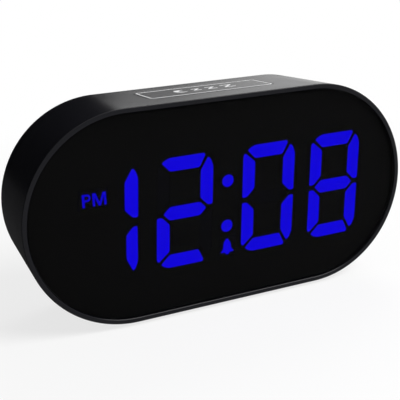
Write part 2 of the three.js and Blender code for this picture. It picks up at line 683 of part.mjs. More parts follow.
// Dry cell along x with its nub at one end; side = 1 points the nub to +x.
function cell({ z, side }) {
  const [r, half] = [cellRadius, cellLength / 2];
  const profile = [[0, -half], [r - 0.4, -half], [r, -half + 0.4], [r, half - cellNub - 0.4],
    [r - 0.4, half - cellNub], [1.9, half - cellNub], [1.9, half], [0, half]];
  return solid(turned(profile).rotateZ(-side * Math.PI / 2).translate(0, cellY, z));
}

// Sprung contact: a plate on the end wall of the bay with a folded leaf for each cell it touches.
function contact(side, zs, tagged) {
  const half = cellRadius - 1;
  const base = side * contactX;
  const out = side * (contactX + contactThick);
  const strip = block(Math.min(base, out), Math.max(base, out), cellY - half, cellY + half,
    Math.min(...zs) - half, Math.max(...zs) + half);
  const tip = side * (cellLength / 2 + stackGap);
  const fold = side * contactThick * 1.2;
  const middle = side * contactThick / 2;
  const leaf = [[base + middle, cellY - 3], [tip, cellY], [base + middle, cellY + 3],
    [base + middle, cellY + 2.3], [tip + fold, cellY], [base + middle, cellY - 2.3]];
  const outline = () => new THREE.Shape(leaf.map(([x, y]) => new THREE.Vector2(x, y)));
  const leaves = zs.map((z) => slab(outline(), z - 2, z + 2));
  const tags = tagged ? zs.map((z) => block(Math.min(base, out), Math.max(base, out),
    bayFloorY - bayWall - 0.8, cellY, z - 1, z + 1)) : [];
  return join(strip, ...leaves, ...tags);
}

// ---- Controls ----

const standoffs = [-standoffX, standoffX].flatMap((x) => standoffZ.map((z) => [x, z]));
const buttons = buttonNames.map((name, i) => ({ name, x: (i - (buttonNames.length - 1) / 2) * buttonPitch }));

// Push button about its own axis along y: domed cap, flange behind the cover and a short stem.
function pushButton() {
  const stemEnd = mainBackY + switchTop + buttonTravel + stackGap;
  const flangeY = coverInY - fitGap;
  const r = buttonRadius;
  const top = coverOutY + buttonProud;
  const profile = [[0, stemEnd], [1.5, stemEnd], [1.5, flangeY - 1], [r + buttonFlange, flangeY - 1],
    [r + buttonFlange, flangeY], [r, flangeY], [r, top - 0.5], [r - 0.5, top - 0.1], [r - 1.2, top],
    [0, top]];
  return solid(turned(profile));
}

// Slide knob at the left end of its slot: ribbed grip, a plate that covers the slot, and a foot.
function slideKnob() {
  const plateY = coverInY - fitGap;
  const top = coverOutY + knobProud;
  const [w, h] = [knobWidth / 2, knobHeight / 2];
  const lap = sliderTravel + 2 * slideGap;
  const cover = block(-w - lap, w + lap, plateY - 0.8, plateY, -h - 1, h + 1);
  const grip = block(-w, w, plateY - 0.2, top, -h, h);
  const foot = block(-0.7, 0.7, mainBackY + 2.9, plateY - 0.6, -0.5, 0.5);
  const grooves = [-1, 0, 1].map((i) => block(i - 0.2, i + 0.2, top - 0.35, top + 1, -h - 1, h + 1));
  return cut(join(cover, grip, foot), ...grooves);
}

// Slide switch standing on y = 0: a metal can with a slot that the knob's foot runs in.
function slideSwitch() {
  const body = plate(softRectangle(0, 0, slideSwitchWidth, 3.8, 0.4), stackGap, 3.5);
  const half = sliderTravel / 2 + 0.7 + slideGap;
  return cut(body, block(-half, half, 2.5, 5, -0.5 - slideGap, 0.5 + slideGap));
}

// Dimmer wheel on its upright axle, with ridges round the edge.
function dimmerWheel() {
  const points = Array.from({ length: 2 * wheelRidges }, (_, i) => {
    const radius = wheelRadius - (i % 2) * 0.35;
    const angle = i * Math.PI / wheelRidges;
    return new THREE.Vector2(wheelX + radius * Math.cos(angle), wheelY + radius * Math.sin(angle));
  });
  const disc = slab(new THREE.Shape(points), wheelZ - wheelThick / 2, wheelZ + wheelThick / 2);
  return cut(disc, pin(wheelX, wheelY, wheelZ - wheelThick, wheelZ + wheelThick, axleRadius + slideGap, 12));
}

// Potentiometer under the wheel: a flat case that stands on the main board, and the axle.
function dimmerPot() {
  const top = wheelZ - wheelThick / 2 - fitGap;
  const half = potWidth / 2;
  const tip = wheelZ + wheelThick / 2 + axleTip;
  const body = block(wheelX - half, wheelX + half, mainBackY + stackGap, coverInY - fitGap,
    top - potThick, top);
  return join(body, pin(wheelX, wheelY, top - potThick / 2, tip, axleRadius, 12));
}

// Power inlet: block on the main board, round collar through the cover, blind bore with a centre pin.
function dcJack() {
  const half = jackSize / 2;
  const bodyEnd = coverInY - fitGap;
  const face = coverOutY - 0.2;
  const body = block(jackX - half, jackX + half, mainBackY + stackGap, bodyEnd, jackZ - half, jackZ + half);
  const collar = rod(jackX, jackZ, bodyEnd - 1, face, half - fitGap);
  const bore = rod(jackX, jackZ, mainBackY + 2.5, face + 1, jackBore);
  return join(cut(join(body, collar), bore), rod(jackX, jackZ, mainBackY + 2, face - 0.8, 0.9, 12));
}

// Small loudspeaker facing the cover: rim, paper cone, basket and magnet.
function speaker() {
  const rim = coverInY - stackGap;
  const back = coverInY - speakerDepth;
  const r = speakerRadius;
  const profile = [[0, rim - 1.6], [3, rim - 2.4], [r - 2.4, rim - 0.6], [r - 1.4, rim], [r, rim],
    [r, rim - 1], [r - 1.8, rim - 1.6], [r - 4, back + 2.6], [r - 4, back], [0, back]];
  return solid(turned([...profile].reverse(), 20).translate(speakerX, 0, speakerZ));
}

// ---- Boards and what they carry ----

function mainBoard() {
  const outline = softRectangle(0, mainBoardZ, caseWidth - 2 * mainBoardEnd,
    mainBoardTop - mainBoardBottom, 5);
  const holes = standoffs.map(([x, z]) => rod(x, z, mainFrontY - 1, mainBackY + 1, smallShank + slideGap, 8));
  return cut(plate(outline, mainFrontY, mainBackY), ...holes);
}

// Clock chip on the front of the main board: moulded body and two rows of bent pins.
function clockChip() {
  const face = mainFrontY - stackGap;
  const [length, width] = [chipLength / 2, chipWidth / 2];
  const body = block(chipX - length, chipX + length, face - chipThick, face - 0.2,
    mainBoardZ - width, mainBoardZ + width);
  const pins = Array.from({ length: pinCount }, (_, i) => {
    const x = chipX + (i - (pinCount - 1) / 2) * pinPitch;
    const reach = width + 1.2;
    return block(x - 0.25, x + 0.25, face - chipThick / 2 - 0.2, face,
      mainBoardZ - reach, mainBoardZ + reach);
  });
  return join(body, ...pins);
}

// Quartz crystal can, lying on the main board.
function quartzCrystal() {
  const face = mainFrontY - stackGap;
  const can = plateGeometry(oval(crystalLength, crystalWidth), face - crystalThick, face, 0, 4);
  return solid(can.rotateY(Math.PI / 2).translate(crystalX, 0, mainBoardZ - crystalDrop));
}

// Electrolytic capacitor standing on the main board: beaded can.
function capacitor(x) {
  const face = mainFrontY - stackGap;
  const [r, low] = [capacitorRadius, face - capacitorHeight];
  const profile = [[0, low], [r - 0.3, low], [r, low + 0.3], [r, face - 1.8], [r - 0.3, face - 1.5],
    [r, face - 1.2], [r, face], [0, face]];
  return solid(turned(profile, 14).translate(x, 0, mainBoardZ + capacitorRise));
}

// Flat cable: a strip bent along a smooth line through [y, z] points.
function flatCable(line, x, width) {
  const steps = 14;
  const curve = new THREE.SplineCurve(line.map(([y, z]) => new THREE.Vector2(y, z)));
  const centre = curve.getSpacedPoints(steps);
  const side = (sign) => centre.map((point, i) => {
    const along = curve.getTangentAt(i / steps);
    return new THREE.Vector2(-along.y, along.x).multiplyScalar(sign * cableThick / 2).add(point);
  });
  return bar(new THREE.Shape([...side(1), ...side(-1).reverse()]), x - width / 2, x + width / 2);
}

const onBoard = fitGap + cableThick / 2; // from the face that a cable is soldered to up to its middle line
const displaySolder = displayBackY + onBoard;
const mainSolder = mainFrontY - onBoard;

// Ribbon from the display board over to the main board.
function ribbonCable() {
  const middle = (displaySolder + mainSolder) / 2;
  const [low, high] = [mainBoardZ - ribbonRise, mainBoardZ + ribbonRise];
  const [under, over] = [mainBoardZ - 0.4 * ribbonRise, mainBoardZ + 0.4 * ribbonRise];
  return flatCable([[displaySolder, low], [displaySolder, under], [displaySolder + 0.6, over], [middle, high],
    [mainSolder - 0.6, over], [mainSolder, under], [mainSolder, low]], ribbonX, ribbonWidth);
}

function speakerLead() {
  const back = coverInY - speakerDepth - onBoard;
  return flatCable([[back, speakerZ + 1], [back, speakerZ + 5], [mainSolder, mainBoardBottom - 1.5],
    [mainSolder, mainBoardBottom + 1], [mainSolder, mainBoardBottom + 6]], speakerX, leadWidth);
}

function batteryLead() {
  const under = bayFloorY - bayWall - 0.8 - onBoard;
  return flatCable([[under, cells[1].z], [under, cells[0].z], [under, bayTopZ - 0.5],
    [(under + mainSolder) / 2, bayTopZ + 1.6], [mainSolder, bayTopZ + 4], [mainSolder, bayTopZ + 8]],
  contactX + contactThick / 2, leadWidth);
}

function snoozeLead() {
  const under = snoozeBoardZ - boardThick - onBoard;
  return flatCable([[snoozeY - 3, under], [snoozeY, under], [mainSolder, mainBoardTop - 1.5],
    [mainSolder, mainBoardTop - 3.5], [mainSolder, mainBoardTop - 5.5]], snoozeX - 8, leadWidth);
}

// ---- Assembly ----

const clock = new THREE.Group();
clock.position.z = -floorZ;

function add(name, body, finish, place = [0, 0, 0], turn = [0, 0, 0]) {
  const { vertProperties, triVerts } = body.getMesh();
  const geometry = new THREE.BufferGeometry();
  geometry.setAttribute('position', new THREE.BufferAttribute(vertProperties, 3));
  geometry.setIndex(new THREE.BufferAttribute(triVerts, 1));
  const [color, roughness, metalness = 0] = finish;
  const mesh = new THREE.Mesh(geometry, new THREE.MeshStandardMaterial({ color, roughness, metalness }));
  mesh.name = name;
  mesh.position.set(...place);
  mesh.rotation.set(...turn);
  clock.add(mesh);
}

add('housing_sleeve', housingSleeve(), colours.shell);
add('front_window', frontWindow(), colours.window);
add('segment_mask', segmentMask(), colours.mask);
add('light_guide', lightGuide(), colours.guide);
add('led_reflector', ledReflector(), colours.reflector);
add('display_board', displayBoard(), colours.board);
displayBosses.forEach(([x, z], i) => {
  add(`display_board_screw_${i + 1}`, boardScrew(), colours.steel, [x, displayBackY + stackGap, z]);
});
feet.forEach((place) => add(place.name, foot(place), colours.rubber));

add('snooze_key', snoozeKey(), colours.key);
add('snooze_board', snoozeBoard(), colours.board);
add('snooze_switch', pushSwitch(), colours.chip, [snoozeX, snoozeY, snoozeBoardZ], [Math.PI / 2, 0, 0]);
snoozeBosses.forEach((x, i) => {
  const low = snoozeBoardZ - boardThick - stackGap;
  add(`snooze_board_screw_${i + 1}`, boardScrew(), colours.steel, [x, snoozeY, low], [-Math.PI / 2, 0, 0]);
});

add('rear_cover', rearCover(), colours.shell);
coverScrews.forEach(([x, z], i) => {
  add(`rear_cover_screw_${i + 1}`, coverScrew(), colours.steel, [x, coverOutY - headSink + stackGap, z]);
});
add('battery_door', batteryDoor(), colours.shell);
cells.forEach((place, i) => add(`battery_cell_${i + 1}`, cell(place), colours.cell));
add('battery_contact_link', contact(-1, cells.map(({ z }) => z), false), colours.tin);
add('battery_contact_upper', contact(1, [cells[0].z], true), colours.tin);
add('battery_contact_lower', contact(1, [cells[1].z], true), colours.tin);

add('main_board', mainBoard(), colours.board);
standoffs.forEach(([x, z], i) => {
  const place = [x, mainFrontY - stackGap, z];
  add(`main_board_screw_${i + 1}`, boardScrew(), colours.steel, place, [Math.PI, 0, 0]);
});
add('clock_chip', clockChip(), colours.chip);
add('quartz_crystal', quartzCrystal(), colours.tin);
capacitorX.forEach((x, i) => add(`capacitor_${i + 1}`, capacitor(x), colours.chip));
buttons.forEach(({ name, x }) => {
  add(`${name}_button`, pushButton(), colours.button, [x, 0, buttonZ]);
  add(`${name}_switch`, pushSwitch(), colours.chip, [x, mainBackY, buttonZ]);
});
Object.entries(sliderZ).forEach(([name, z]) => {
  add(`${name}_slider`, slideKnob(), colours.button, [sliderX - sliderTravel / 2, 0, z]);
  add(`${name}_slide_switch`, slideSwitch(), colours.tin, [sliderX, mainBackY, z]);
});
add('dimmer_wheel', dimmerWheel(), colours.button);
add('dimmer_potentiometer', dimmerPot(), colours.tin);
add('dc_jack', dcJack(), colours.chip);
add('speaker', speaker(), colours.chip);
add('ribbon_cable', ribbonCable(), colours.cable);
add('speaker_lead', speakerLead(), colours.cable);
add('battery_lead', batteryLead(), colours.cable);
add('snooze_lead', snoozeLead(), colours.cable);

export default clock;
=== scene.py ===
import json
import math

import bmesh
import bpy
from mathutils import Matrix, Vector


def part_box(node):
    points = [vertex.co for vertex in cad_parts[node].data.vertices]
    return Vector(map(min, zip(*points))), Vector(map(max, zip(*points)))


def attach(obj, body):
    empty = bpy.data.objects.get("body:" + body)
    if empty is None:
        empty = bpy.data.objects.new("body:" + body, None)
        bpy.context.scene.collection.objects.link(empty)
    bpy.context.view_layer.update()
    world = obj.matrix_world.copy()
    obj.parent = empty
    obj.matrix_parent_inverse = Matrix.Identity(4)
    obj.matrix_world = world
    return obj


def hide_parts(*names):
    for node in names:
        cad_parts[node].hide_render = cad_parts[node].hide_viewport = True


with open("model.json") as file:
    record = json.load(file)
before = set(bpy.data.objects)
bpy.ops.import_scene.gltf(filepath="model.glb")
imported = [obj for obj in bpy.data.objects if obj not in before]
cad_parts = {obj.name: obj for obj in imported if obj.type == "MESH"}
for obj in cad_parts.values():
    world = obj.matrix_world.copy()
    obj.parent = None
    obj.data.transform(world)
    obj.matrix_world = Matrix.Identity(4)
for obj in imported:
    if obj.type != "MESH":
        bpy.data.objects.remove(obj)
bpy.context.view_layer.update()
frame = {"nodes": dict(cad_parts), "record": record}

# Sizes are millimetres about the middle of the case; toFrame puts them in the frame, in metres.
case = {"width": 135.0, "height": 69.0, "depth": 34.5, "endDraft": 2.1, "topDraft": 1.2, "middle": 35.7}
frontY, backY = -case["depth"] / 2, case["depth"] / 2
flatHalf = (case["width"] - case["height"]) / 2  # from the middle to where the ends begin to turn
toFrame = Matrix.Scale(0.001, 4) @ Matrix.Translation((0, 0, case["middle"]))
middlePlace = Vector((0, 0, case["middle"] / 1000))
edgeAngle = math.radians(30)  # faces that meet at more than this keep a sharp edge
holeSides = 24  # screw holes
past = 1.0  # how far a cutter runs past a face
root = 0.2  # how deep an added part is rooted in its base

# degrees and metres; right and up say how far the view is centred off the middle, as shares of the distance
view = {"lens": 77.951, "sensor": 36, "clip": 0.01, "yaw": 25.015, "pitch": 17.245, "roll": -2.221,
        "distance": 0.29333, "right": 0.0061, "up": 0.01294}


def inScene(name, data):
    made = bpy.data.objects.new(name, data)
    bpy.context.scene.collection.objects.link(made)
    return made


def placeCamera():
    yaw, pitch, roll = (math.radians(view[part]) for part in ("yaw", "pitch", "roll"))
    forward = Vector((math.sin(yaw) * math.cos(pitch), math.cos(yaw) * math.cos(pitch), -math.sin(pitch)))
    level = Vector((math.cos(yaw), -math.sin(yaw), 0))
    upright = level.cross(forward)
    right = math.cos(roll) * level + math.sin(roll) * upright
    up = math.cos(roll) * upright - math.sin(roll) * level
    camera = bpy.data.cameras.new("camera")
    camera.lens = view["lens"]
    camera.sensor_width = view["sensor"]
    camera.clip_start = view["clip"]
    holder = inScene("camera", camera)
    turn = Matrix((right, up, -forward)).transposed().to_4x4()
    place = middlePlace - view["distance"] * (view["right"] * right + view["up"] * up + forward)
    holder.matrix_world = Matrix.Translation(place) @ turn
    bpy.context.scene.camera = holder


placeCamera()
print("camera placed")

# How the meshes are made: rings joined into skins, then cut and joined as solids.


def nodeSpan(node):
    # lowest corner, highest corner and middle of a CAD node, in millimetres about the middle of the case
    low, high = (Vector(corner) * 1000 - Vector((0, 0, case["middle"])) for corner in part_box(node))
    return low, high, (low + high) / 2


def nodeMiddle(node):
    return nodeSpan(node)[2]


def drafted(x, y, z):
    back = (y - frontY) / case["depth"]
    return (x * (1 - back * case["endDraft"] / (case["width"] / 2)), y,
            z * (1 - back * case["topDraft"] / (case["height"] / 2)))


def ovalRing(inset, y, arcSteps=72, flatSteps=14):
    # the case outline at a depth, a distance inside the skin
    radius = case["height"] / 2 - inset
    points = []
    for side in (1, -1):
        for i in range(arcSteps + 1):
            angle = -math.pi / 2 + math.pi * i / arcSteps
            points.append((side * (flatHalf + radius * math.cos(angle)), side * radius * math.sin(angle)))
        for i in range(1, flatSteps):
            points.append((side * flatHalf * (1 - 2 * i / flatSteps), side * radius))
    return [drafted(x, y, z) for x, z in points]


def topSkin(y):
    return case["height"] / 2 - case["topDraft"] * (y - frontY) / case["depth"]


def quarter(steps):
    # the angles of a rounded edge
    return [math.pi / 2 * i / steps for i in range(steps + 1)]


def softBox(cx, cz, width, height, radius, steps=6):
    # rounded rectangle, as points of a plane
    radius = max(min(radius, width / 2 - 1e-3, height / 2 - 1e-3), 1e-3)
    points = []
    for turn, (sx, sz) in enumerate(((1, -1), (1, 1), (-1, 1), (-1, -1))):
        for step in quarter(steps):
            angle = step - math.pi / 2 + turn * math.pi / 2
            points.append((cx + sx * (width / 2 - radius) + radius * math.cos(angle),
                           cz + sz * (height / 2 - radius) + radius * math.sin(angle)))
    return points


def arc(cx, cz, radius, start, end, steps=10):
    angles = [math.radians(start + (end - start) * i / steps) for i in range(steps + 1)]
    return [(cx + radius * math.cos(angle), cz + radius * math.sin(angle)) for angle in angles]


def circle(cx, cz, radius, sides=48):
    return arc(cx, cz, radius, 0, 360, sides)[:-1]


def newObject(mesh, name="piece"):
    data = bpy.data.meshes.new(name)
    mesh.to_mesh(data)
    mesh.free()
    return inScene(name, data)


def lofted(rings, closedRound=False):
    # skins a row of rings; the ends are capped, or joined to each other
    mesh = bmesh.new()
    made = [[mesh.verts.new(point) for point in ring] for ring in rings]
    pairs = list(zip(made, made[1:]))
    if closedRound:
        pairs.append((made[-1], made[0]))
    for low, high in pairs:
        for i in range(len(low)):
            j = (i + 1) % len(low)
            mesh.faces.new((low[i], low[j], high[j], high[i]))
    if not closedRound:
        mesh.faces.new(made[0])
        mesh.faces.new(made[-1])
    bmesh.ops.recalc_face_normals(mesh, faces=mesh.faces)
    return newObject(mesh)


def acrossY(outline, levels):
    # an outline in x and z through depths: levels are (growth, y), and outline(growth) gives the points
    return lofted([[(x, y, z) for x, z in outline(grow)] for grow, y in levels])


def alongZ(outline, levels):
    return lofted([[(x, y, z) for x, y in outline(grow)] for grow, z in levels])


def flared(y0, y1, flare):
    # levels of a cutter that opens out at y1, for a chamfer at a hole's mouth
    return [(0, y0), (0, y1 - flare), (2 * flare, y1 + flare)]


def crowned(y0, y1, soft):
    # levels of a piece whose edge is rounded at y1
    return [(0, y0)] + [(soft * (math.cos(a) - 1), y1 - soft * (1 - math.sin(a))) for a in quarter(3)]


def block(x0, x1, y0, y1, z0, z1):
    return acrossY(lambda grow: [(x0, z0), (x1, z0), (x1, z1), (x0, z1)], [(0, y0), (0, y1)])


def rod(x, z, y0, y1, radius, sides=48):
    return acrossY(lambda grow: circle(x, z, radius, sides), [(0, y0), (0, y1)])


def bore(x, z, y0, y1, radius, flare):
    return acrossY(lambda grow: circle(x, z, radius + grow), flared(y0, y1, flare))


def boxSection(x, z, width, height, radius, levels):
    # a rounded box through depths
    return acrossY(lambda grow: softBox(x, z, width + 2 * grow, height + 2 * grow, radius + grow), levels)


def pin(x, y, z0, z1, radius, sides=48):
    return alongZ(lambda grow: circle(x, y, radius, sides), [(0, z0), (0, z1)])


def turned(profile, sides=64):
    # a profile of (radius, height) about the y axis; its first and last points lie on the axis
    mesh = bmesh.new()
    low, high = (mesh.verts.new((0, height, 0)) for height in (profile[0][1], profile[-1][1]))
    rings = [[mesh.verts.new((x, height, z)) for x, z in circle(0, 0, radius, sides)]
             for radius, height in profile[1:-1]]
    for i in range(sides):
        j = (i + 1) % sides
        mesh.faces.new((low, rings[0][i], rings[0][j]))
        mesh.faces.new((high, rings[-1][j], rings[-1][i]))
        for one, two in zip(rings, rings[1:]):
            mesh.faces.new((one[i], one[j], two[j], two[i]))
    bmesh.ops.recalc_face_normals(mesh, faces=mesh.faces)
    return newObject(mesh)


def moved(made, x=0.0, y=0.0, z=0.0, turn=None):
    made.data.transform(Matrix.Translation((x, y, z)) @ (turn or Matrix.Identity(4)))
    return made


def applied(made):
    # the mesh with its modifiers applied
    made.data = bpy.data.meshes.new_from_object(made.evaluated_get(bpy.context.evaluated_depsgraph_get()))
    made.modifiers.clear()


def shaped(base, joined=(), cut=()):
    # joins and cuts with Boolean modifiers, and keeps the result as the piece's own mesh
    for tools, operation in ((joined, "UNION"), (cut, "DIFFERENCE")):
        for tool in tools:
            step = base.modifiers.new("step", "BOOLEAN")
            step.operation = operation
            step.solver = "MANIFOLD"
            step.object = tool
    applied(base)
    for tool in [*joined, *cut]:
        bpy.data.objects.remove(tool)
    return base


def flatMesh(loops):
    # fills closed outlines in x and z; an outline inside another is a hole
    mesh = bmesh.new()
    for loop in loops:
        verts = [mesh.verts.new((x, 0, z)) for x, z in loop]
        for i, vert in enumerate(verts):
            mesh.edges.new((vert, verts[(i + 1) % len(verts)]))
    bmesh.ops.triangle_fill(mesh, use_beauty=True, use_dissolve=False, edges=mesh.edges[:])
    return mesh


def thickened(mesh, front, thick):
    # a flat outline in x and z, made into a thin plate
    grown = bmesh.ops.extrude_face_region(mesh, geom=mesh.faces[:])
    fresh = {item for item in grown["geom"] if isinstance(item, bmesh.types.BMVert)}
    for vertex in mesh.verts:
        vertex.co.y = front + thick if vertex in fresh else front
    bmesh.ops.recalc_face_normals(mesh, faces=mesh.faces)
    return mesh


def finishPiece(made, name, slotName, replaces=(), body="case", finish=None):
    # into the frame, shaded, named, and tied to its body; the finish is the slot's unless another is named
    made.data.transform(toFrame)
    made.data.shade_smooth()
    made.data.set_sharp_from_angle(angle=edgeAngle)
    made.modifiers.new("flat faces stay flat", "WEIGHTED_NORMAL").keep_sharp = True
    applied(made)
    made.data.materials.clear()
    made.data.materials.append(finishes[finish or slotName])
    made.name = name
    made.data.name = name
    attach(made, body)
    if replaces:
        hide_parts(*replaces)


# Surface effects that several finishes share.


def plug(tree, value, socket):
    # links another node's output, or sets a number or colour on the socket itself
    if isinstance(value, bpy.types.NodeSocket):
        tree.links.new(value, socket)
    else:
        socket.default_value = value


def feed(tree, node, inputs):
    for title, value in inputs.items():
        plug(tree, value, node.inputs[title.replace("_", " ")])


def addNode(tree, kind, **inputs):
    node = tree.nodes.new("ShaderNode" + kind)
    feed(tree, node, inputs)
    return node


def mathOn(tree, operation, *values):
    step = addNode(tree, "Math")
    step.operation = operation
    for socket, value in zip(step.inputs, values):
        plug(tree, value, socket)
    return step.outputs[0]


def effectGroup(name, inputs, outputs):
    # a node group's tree, its input sockets, its output node, and coordinates that stay with the piece
    tree = bpy.data.node_groups.new(name, "ShaderNodeTree")
    for title, value in inputs.items():
        socket = tree.interface.new_socket(name=title, in_out="INPUT", socket_type="NodeSocketFloat")
        socket.default_value = value
    for title in outputs:
        tree.interface.new_socket(name=title, in_out="OUTPUT", socket_type="NodeSocketFloat")
    where = addNode(tree, "TexCoord").outputs["Object"]
    return tree, tree.nodes.new("NodeGroupInput").outputs, tree.nodes.new("NodeGroupOutput"), where


def mouldedGrain():
    # spark-eroded mould texture: fine pits, with a slow drift in gloss and tone across the moulding
    inputs = {"Pits Per Metre": 3000, "Dull": 0.45, "Bright": 0.35}
    tree, start, end, where = effectGroup("mouldedGrain", inputs, ("Height", "Roughness", "Tone"))
    noise = addNode(tree, "TexNoise", Vector=where, Detail=3, Roughness=0.6, Scale=start["Pits Per Metre"])
    pits = noise.outputs["Fac"]
    drift = addNode(tree, "TexNoise", Vector=where, Detail=4, Roughness=0.5, Scale=45).outputs["Fac"]
    gloss = addNode(tree, "MapRange", Value=drift, From_Min=0.35, From_Max=0.65, To_Min=start["Bright"],
                    To_Max=start["Dull"])
    pitShare, driftShare = 0.4, 0.6
    tone = mathOn(tree, "MULTIPLY_ADD", pits, pitShare, mathOn(tree, "MULTIPLY", drift, driftShare))
    feed(tree, end, {"Height": pits, "Roughness": gloss.outputs["Result"], "Tone": tone})
    return tree


def drawnMetal():
    # fine lines along x and a slow change of gloss, for rolled and drawn metal
    inputs = {"Lines Per Metre": 2500, "Stretch": 0.05}
    tree, start, end, where = effectGroup("drawnMetal", inputs, ("Height", "Roughness", "Tone"))
    squeeze = addNode(tree, "CombineXYZ", X=start["Stretch"], Y=1, Z=1)
    along = addNode(tree, "VectorMath")
    along.operation = "MULTIPLY"
    tree.links.new(where, along.inputs[0])
    tree.links.new(squeeze.outputs["Vector"], along.inputs[1])
    lines = addNode(tree, "TexNoise", Vector=along.outputs["Vector"], Detail=2, Roughness=0.5,
                    Scale=start["Lines Per Metre"]).outputs["Fac"]
    gloss = addNode(tree, "MapRange", Value=lines, To_Min=0.22, To_Max=0.42)
    feed(tree, end, {"Height": lines, "Roughness": gloss.outputs["Result"], "Tone": lines})
    return tree


def boardTraces():
    # copper runs under the lacquer of a circuit board, as a mask
    tree, start, end, where = effectGroup("boardTraces", {"Cells Per Metre": 260}, ("Traces",))
    cells = addNode(tree, "TexVoronoi", Vector=where, Scale=start["Cells Per Metre"])
    cells.feature = "DISTANCE_TO_EDGE"
    line = addNode(tree, "MapRange", Value=cells.outputs["Distance"], From_Min=0.05, From_Max=0.09, To_Min=1,
                   To_Max=0)
    feed(tree, end, {"Traces": line.outputs["Result"]})
    return tree


grainGroup, metalGroup, traceGroup = mouldedGrain(), drawnMetal(), boardTraces()


def newMaterial(name, **constants):
    material = bpy.data.materials.new(name)
    material.use_nodes = True
    tree = material.node_tree
    shader = tree.nodes["Principled BSDF"]
    feed(tree, shader, constants)
    return material, tree, shader


def useGroup(tree, group, **inputs):
    node = tree.nodes.new("ShaderNodeGroup")
    node.node_tree = group
    feed(tree, node, inputs)
    return node.outputs


def toneMix(tree, factor, one, two):
    mix = tree.nodes.new("ShaderNodeMix")
    mix.data_type = "RGBA"
    feed(tree, mix, {"A": (*one, 1), "B": (*two, 1), "Factor": factor})
    return mix.outputs["Result"]


def raised(tree, height, strength, distance):
    return addNode(tree, "Bump", Strength=strength, Distance=distance, Height=height).outputs["Normal"]


def mouldedPlastic(name, dark, light, dull, bright, shine=0.5, pits=3000, relief=0.25):
    material, tree, shader = newMaterial(name, Specular_IOR_Level=shine)
    grain = useGroup(tree, grainGroup, Pits_Per_Metre=pits, Dull=dull, Bright=bright)
    feed(tree, shader, {"Base Color": toneMix(tree, grain["Tone"], dark, light),
                        "Roughness": grain["Roughness"],
                        "Normal": raised(tree, grain["Height"], strength=relief, distance=0.00002)})
    return material


def drawnSheet(name, dark, light, lines, stretch):
    material, tree, shader = newMaterial(name, Metallic=1.0)
    metal = useGroup(tree, metalGroup, Lines_Per_Metre=lines, Stretch=stretch)
    feed(tree, shader, {"Base Color": toneMix(tree, metal["Tone"], dark, light),
                        "Roughness": metal["Roughness"],
                        "Normal": raised(tree, metal["Height"], strength=0.15, distance=0.00001)})
    return material


lacquer = {"board": (0.012, 0.09, 0.035), "trace": (0.03, 0.17, 0.06), "pits": 900, "dull": 0.4,
           "bright": 0.28}


def circuitBoard():
    material, tree, shader = newMaterial("greenLacquer")
    traces = useGroup(tree, traceGroup)["Traces"]
    grain = useGroup(tree, grainGroup, Pits_Per_Metre=lacquer["pits"], Dull=lacquer["dull"],
                     Bright=lacquer["bright"])
    feed(tree, shader, {"Base Color": toneMix(tree, traces, lacquer["board"], lacquer["trace"]),
                        "Roughness": grain["Roughness"],
                        "Normal": raised(tree, traces, strength=0.2, distance=0.00003)})
    return material


lit = {"full": (0.006, 0.0, 1.0), "dim": (0.004, 0.0, 0.74), "strokes": 1.6, "legends": 1.2,
       "darkBase": (0.001, 0.001, 0.002), "lightBase": (0.002, 0.002, 0.004), "roughness": 0.6, "pits": 900}


def litDiffuser(name, strength):
    # light guide behind a lit stroke: blue, with a faint unevenness
    material, tree, shader = newMaterial(name, Roughness=lit["roughness"], Specular_IOR_Level=0.0,
                                         Emission_Strength=strength)
    tone = useGroup(tree, grainGroup, Pits_Per_Metre=lit["pits"])["Tone"]
    feed(tree, shader, {"Base Color": toneMix(tree, tone, lit["darkBase"], lit["lightBase"]),
                        "Emission Color": toneMix(tree, tone, lit["dim"], lit["full"])})
    return material


acrylic = {"alpha": 0.3, "shine": 0.02, "dark": (0.0025, 0.0025, 0.0025), "light": (0.004, 0.004, 0.004),
           "pits": 150, "dull": 0.09, "bright": 0.05}


def smokedAcrylic():
    material, tree, shader = newMaterial("smokedAcrylic", Alpha=acrylic["alpha"],
                                         Specular_IOR_Level=acrylic["shine"])
    grain = useGroup(tree, grainGroup, Pits_Per_Metre=acrylic["pits"], Dull=acrylic["dull"],
                     Bright=acrylic["bright"])
    feed(tree, shader, {"Base Color": toneMix(tree, grain["Tone"], acrylic["dark"], acrylic["light"]),
                        "Roughness": grain["Roughness"]})
    return material


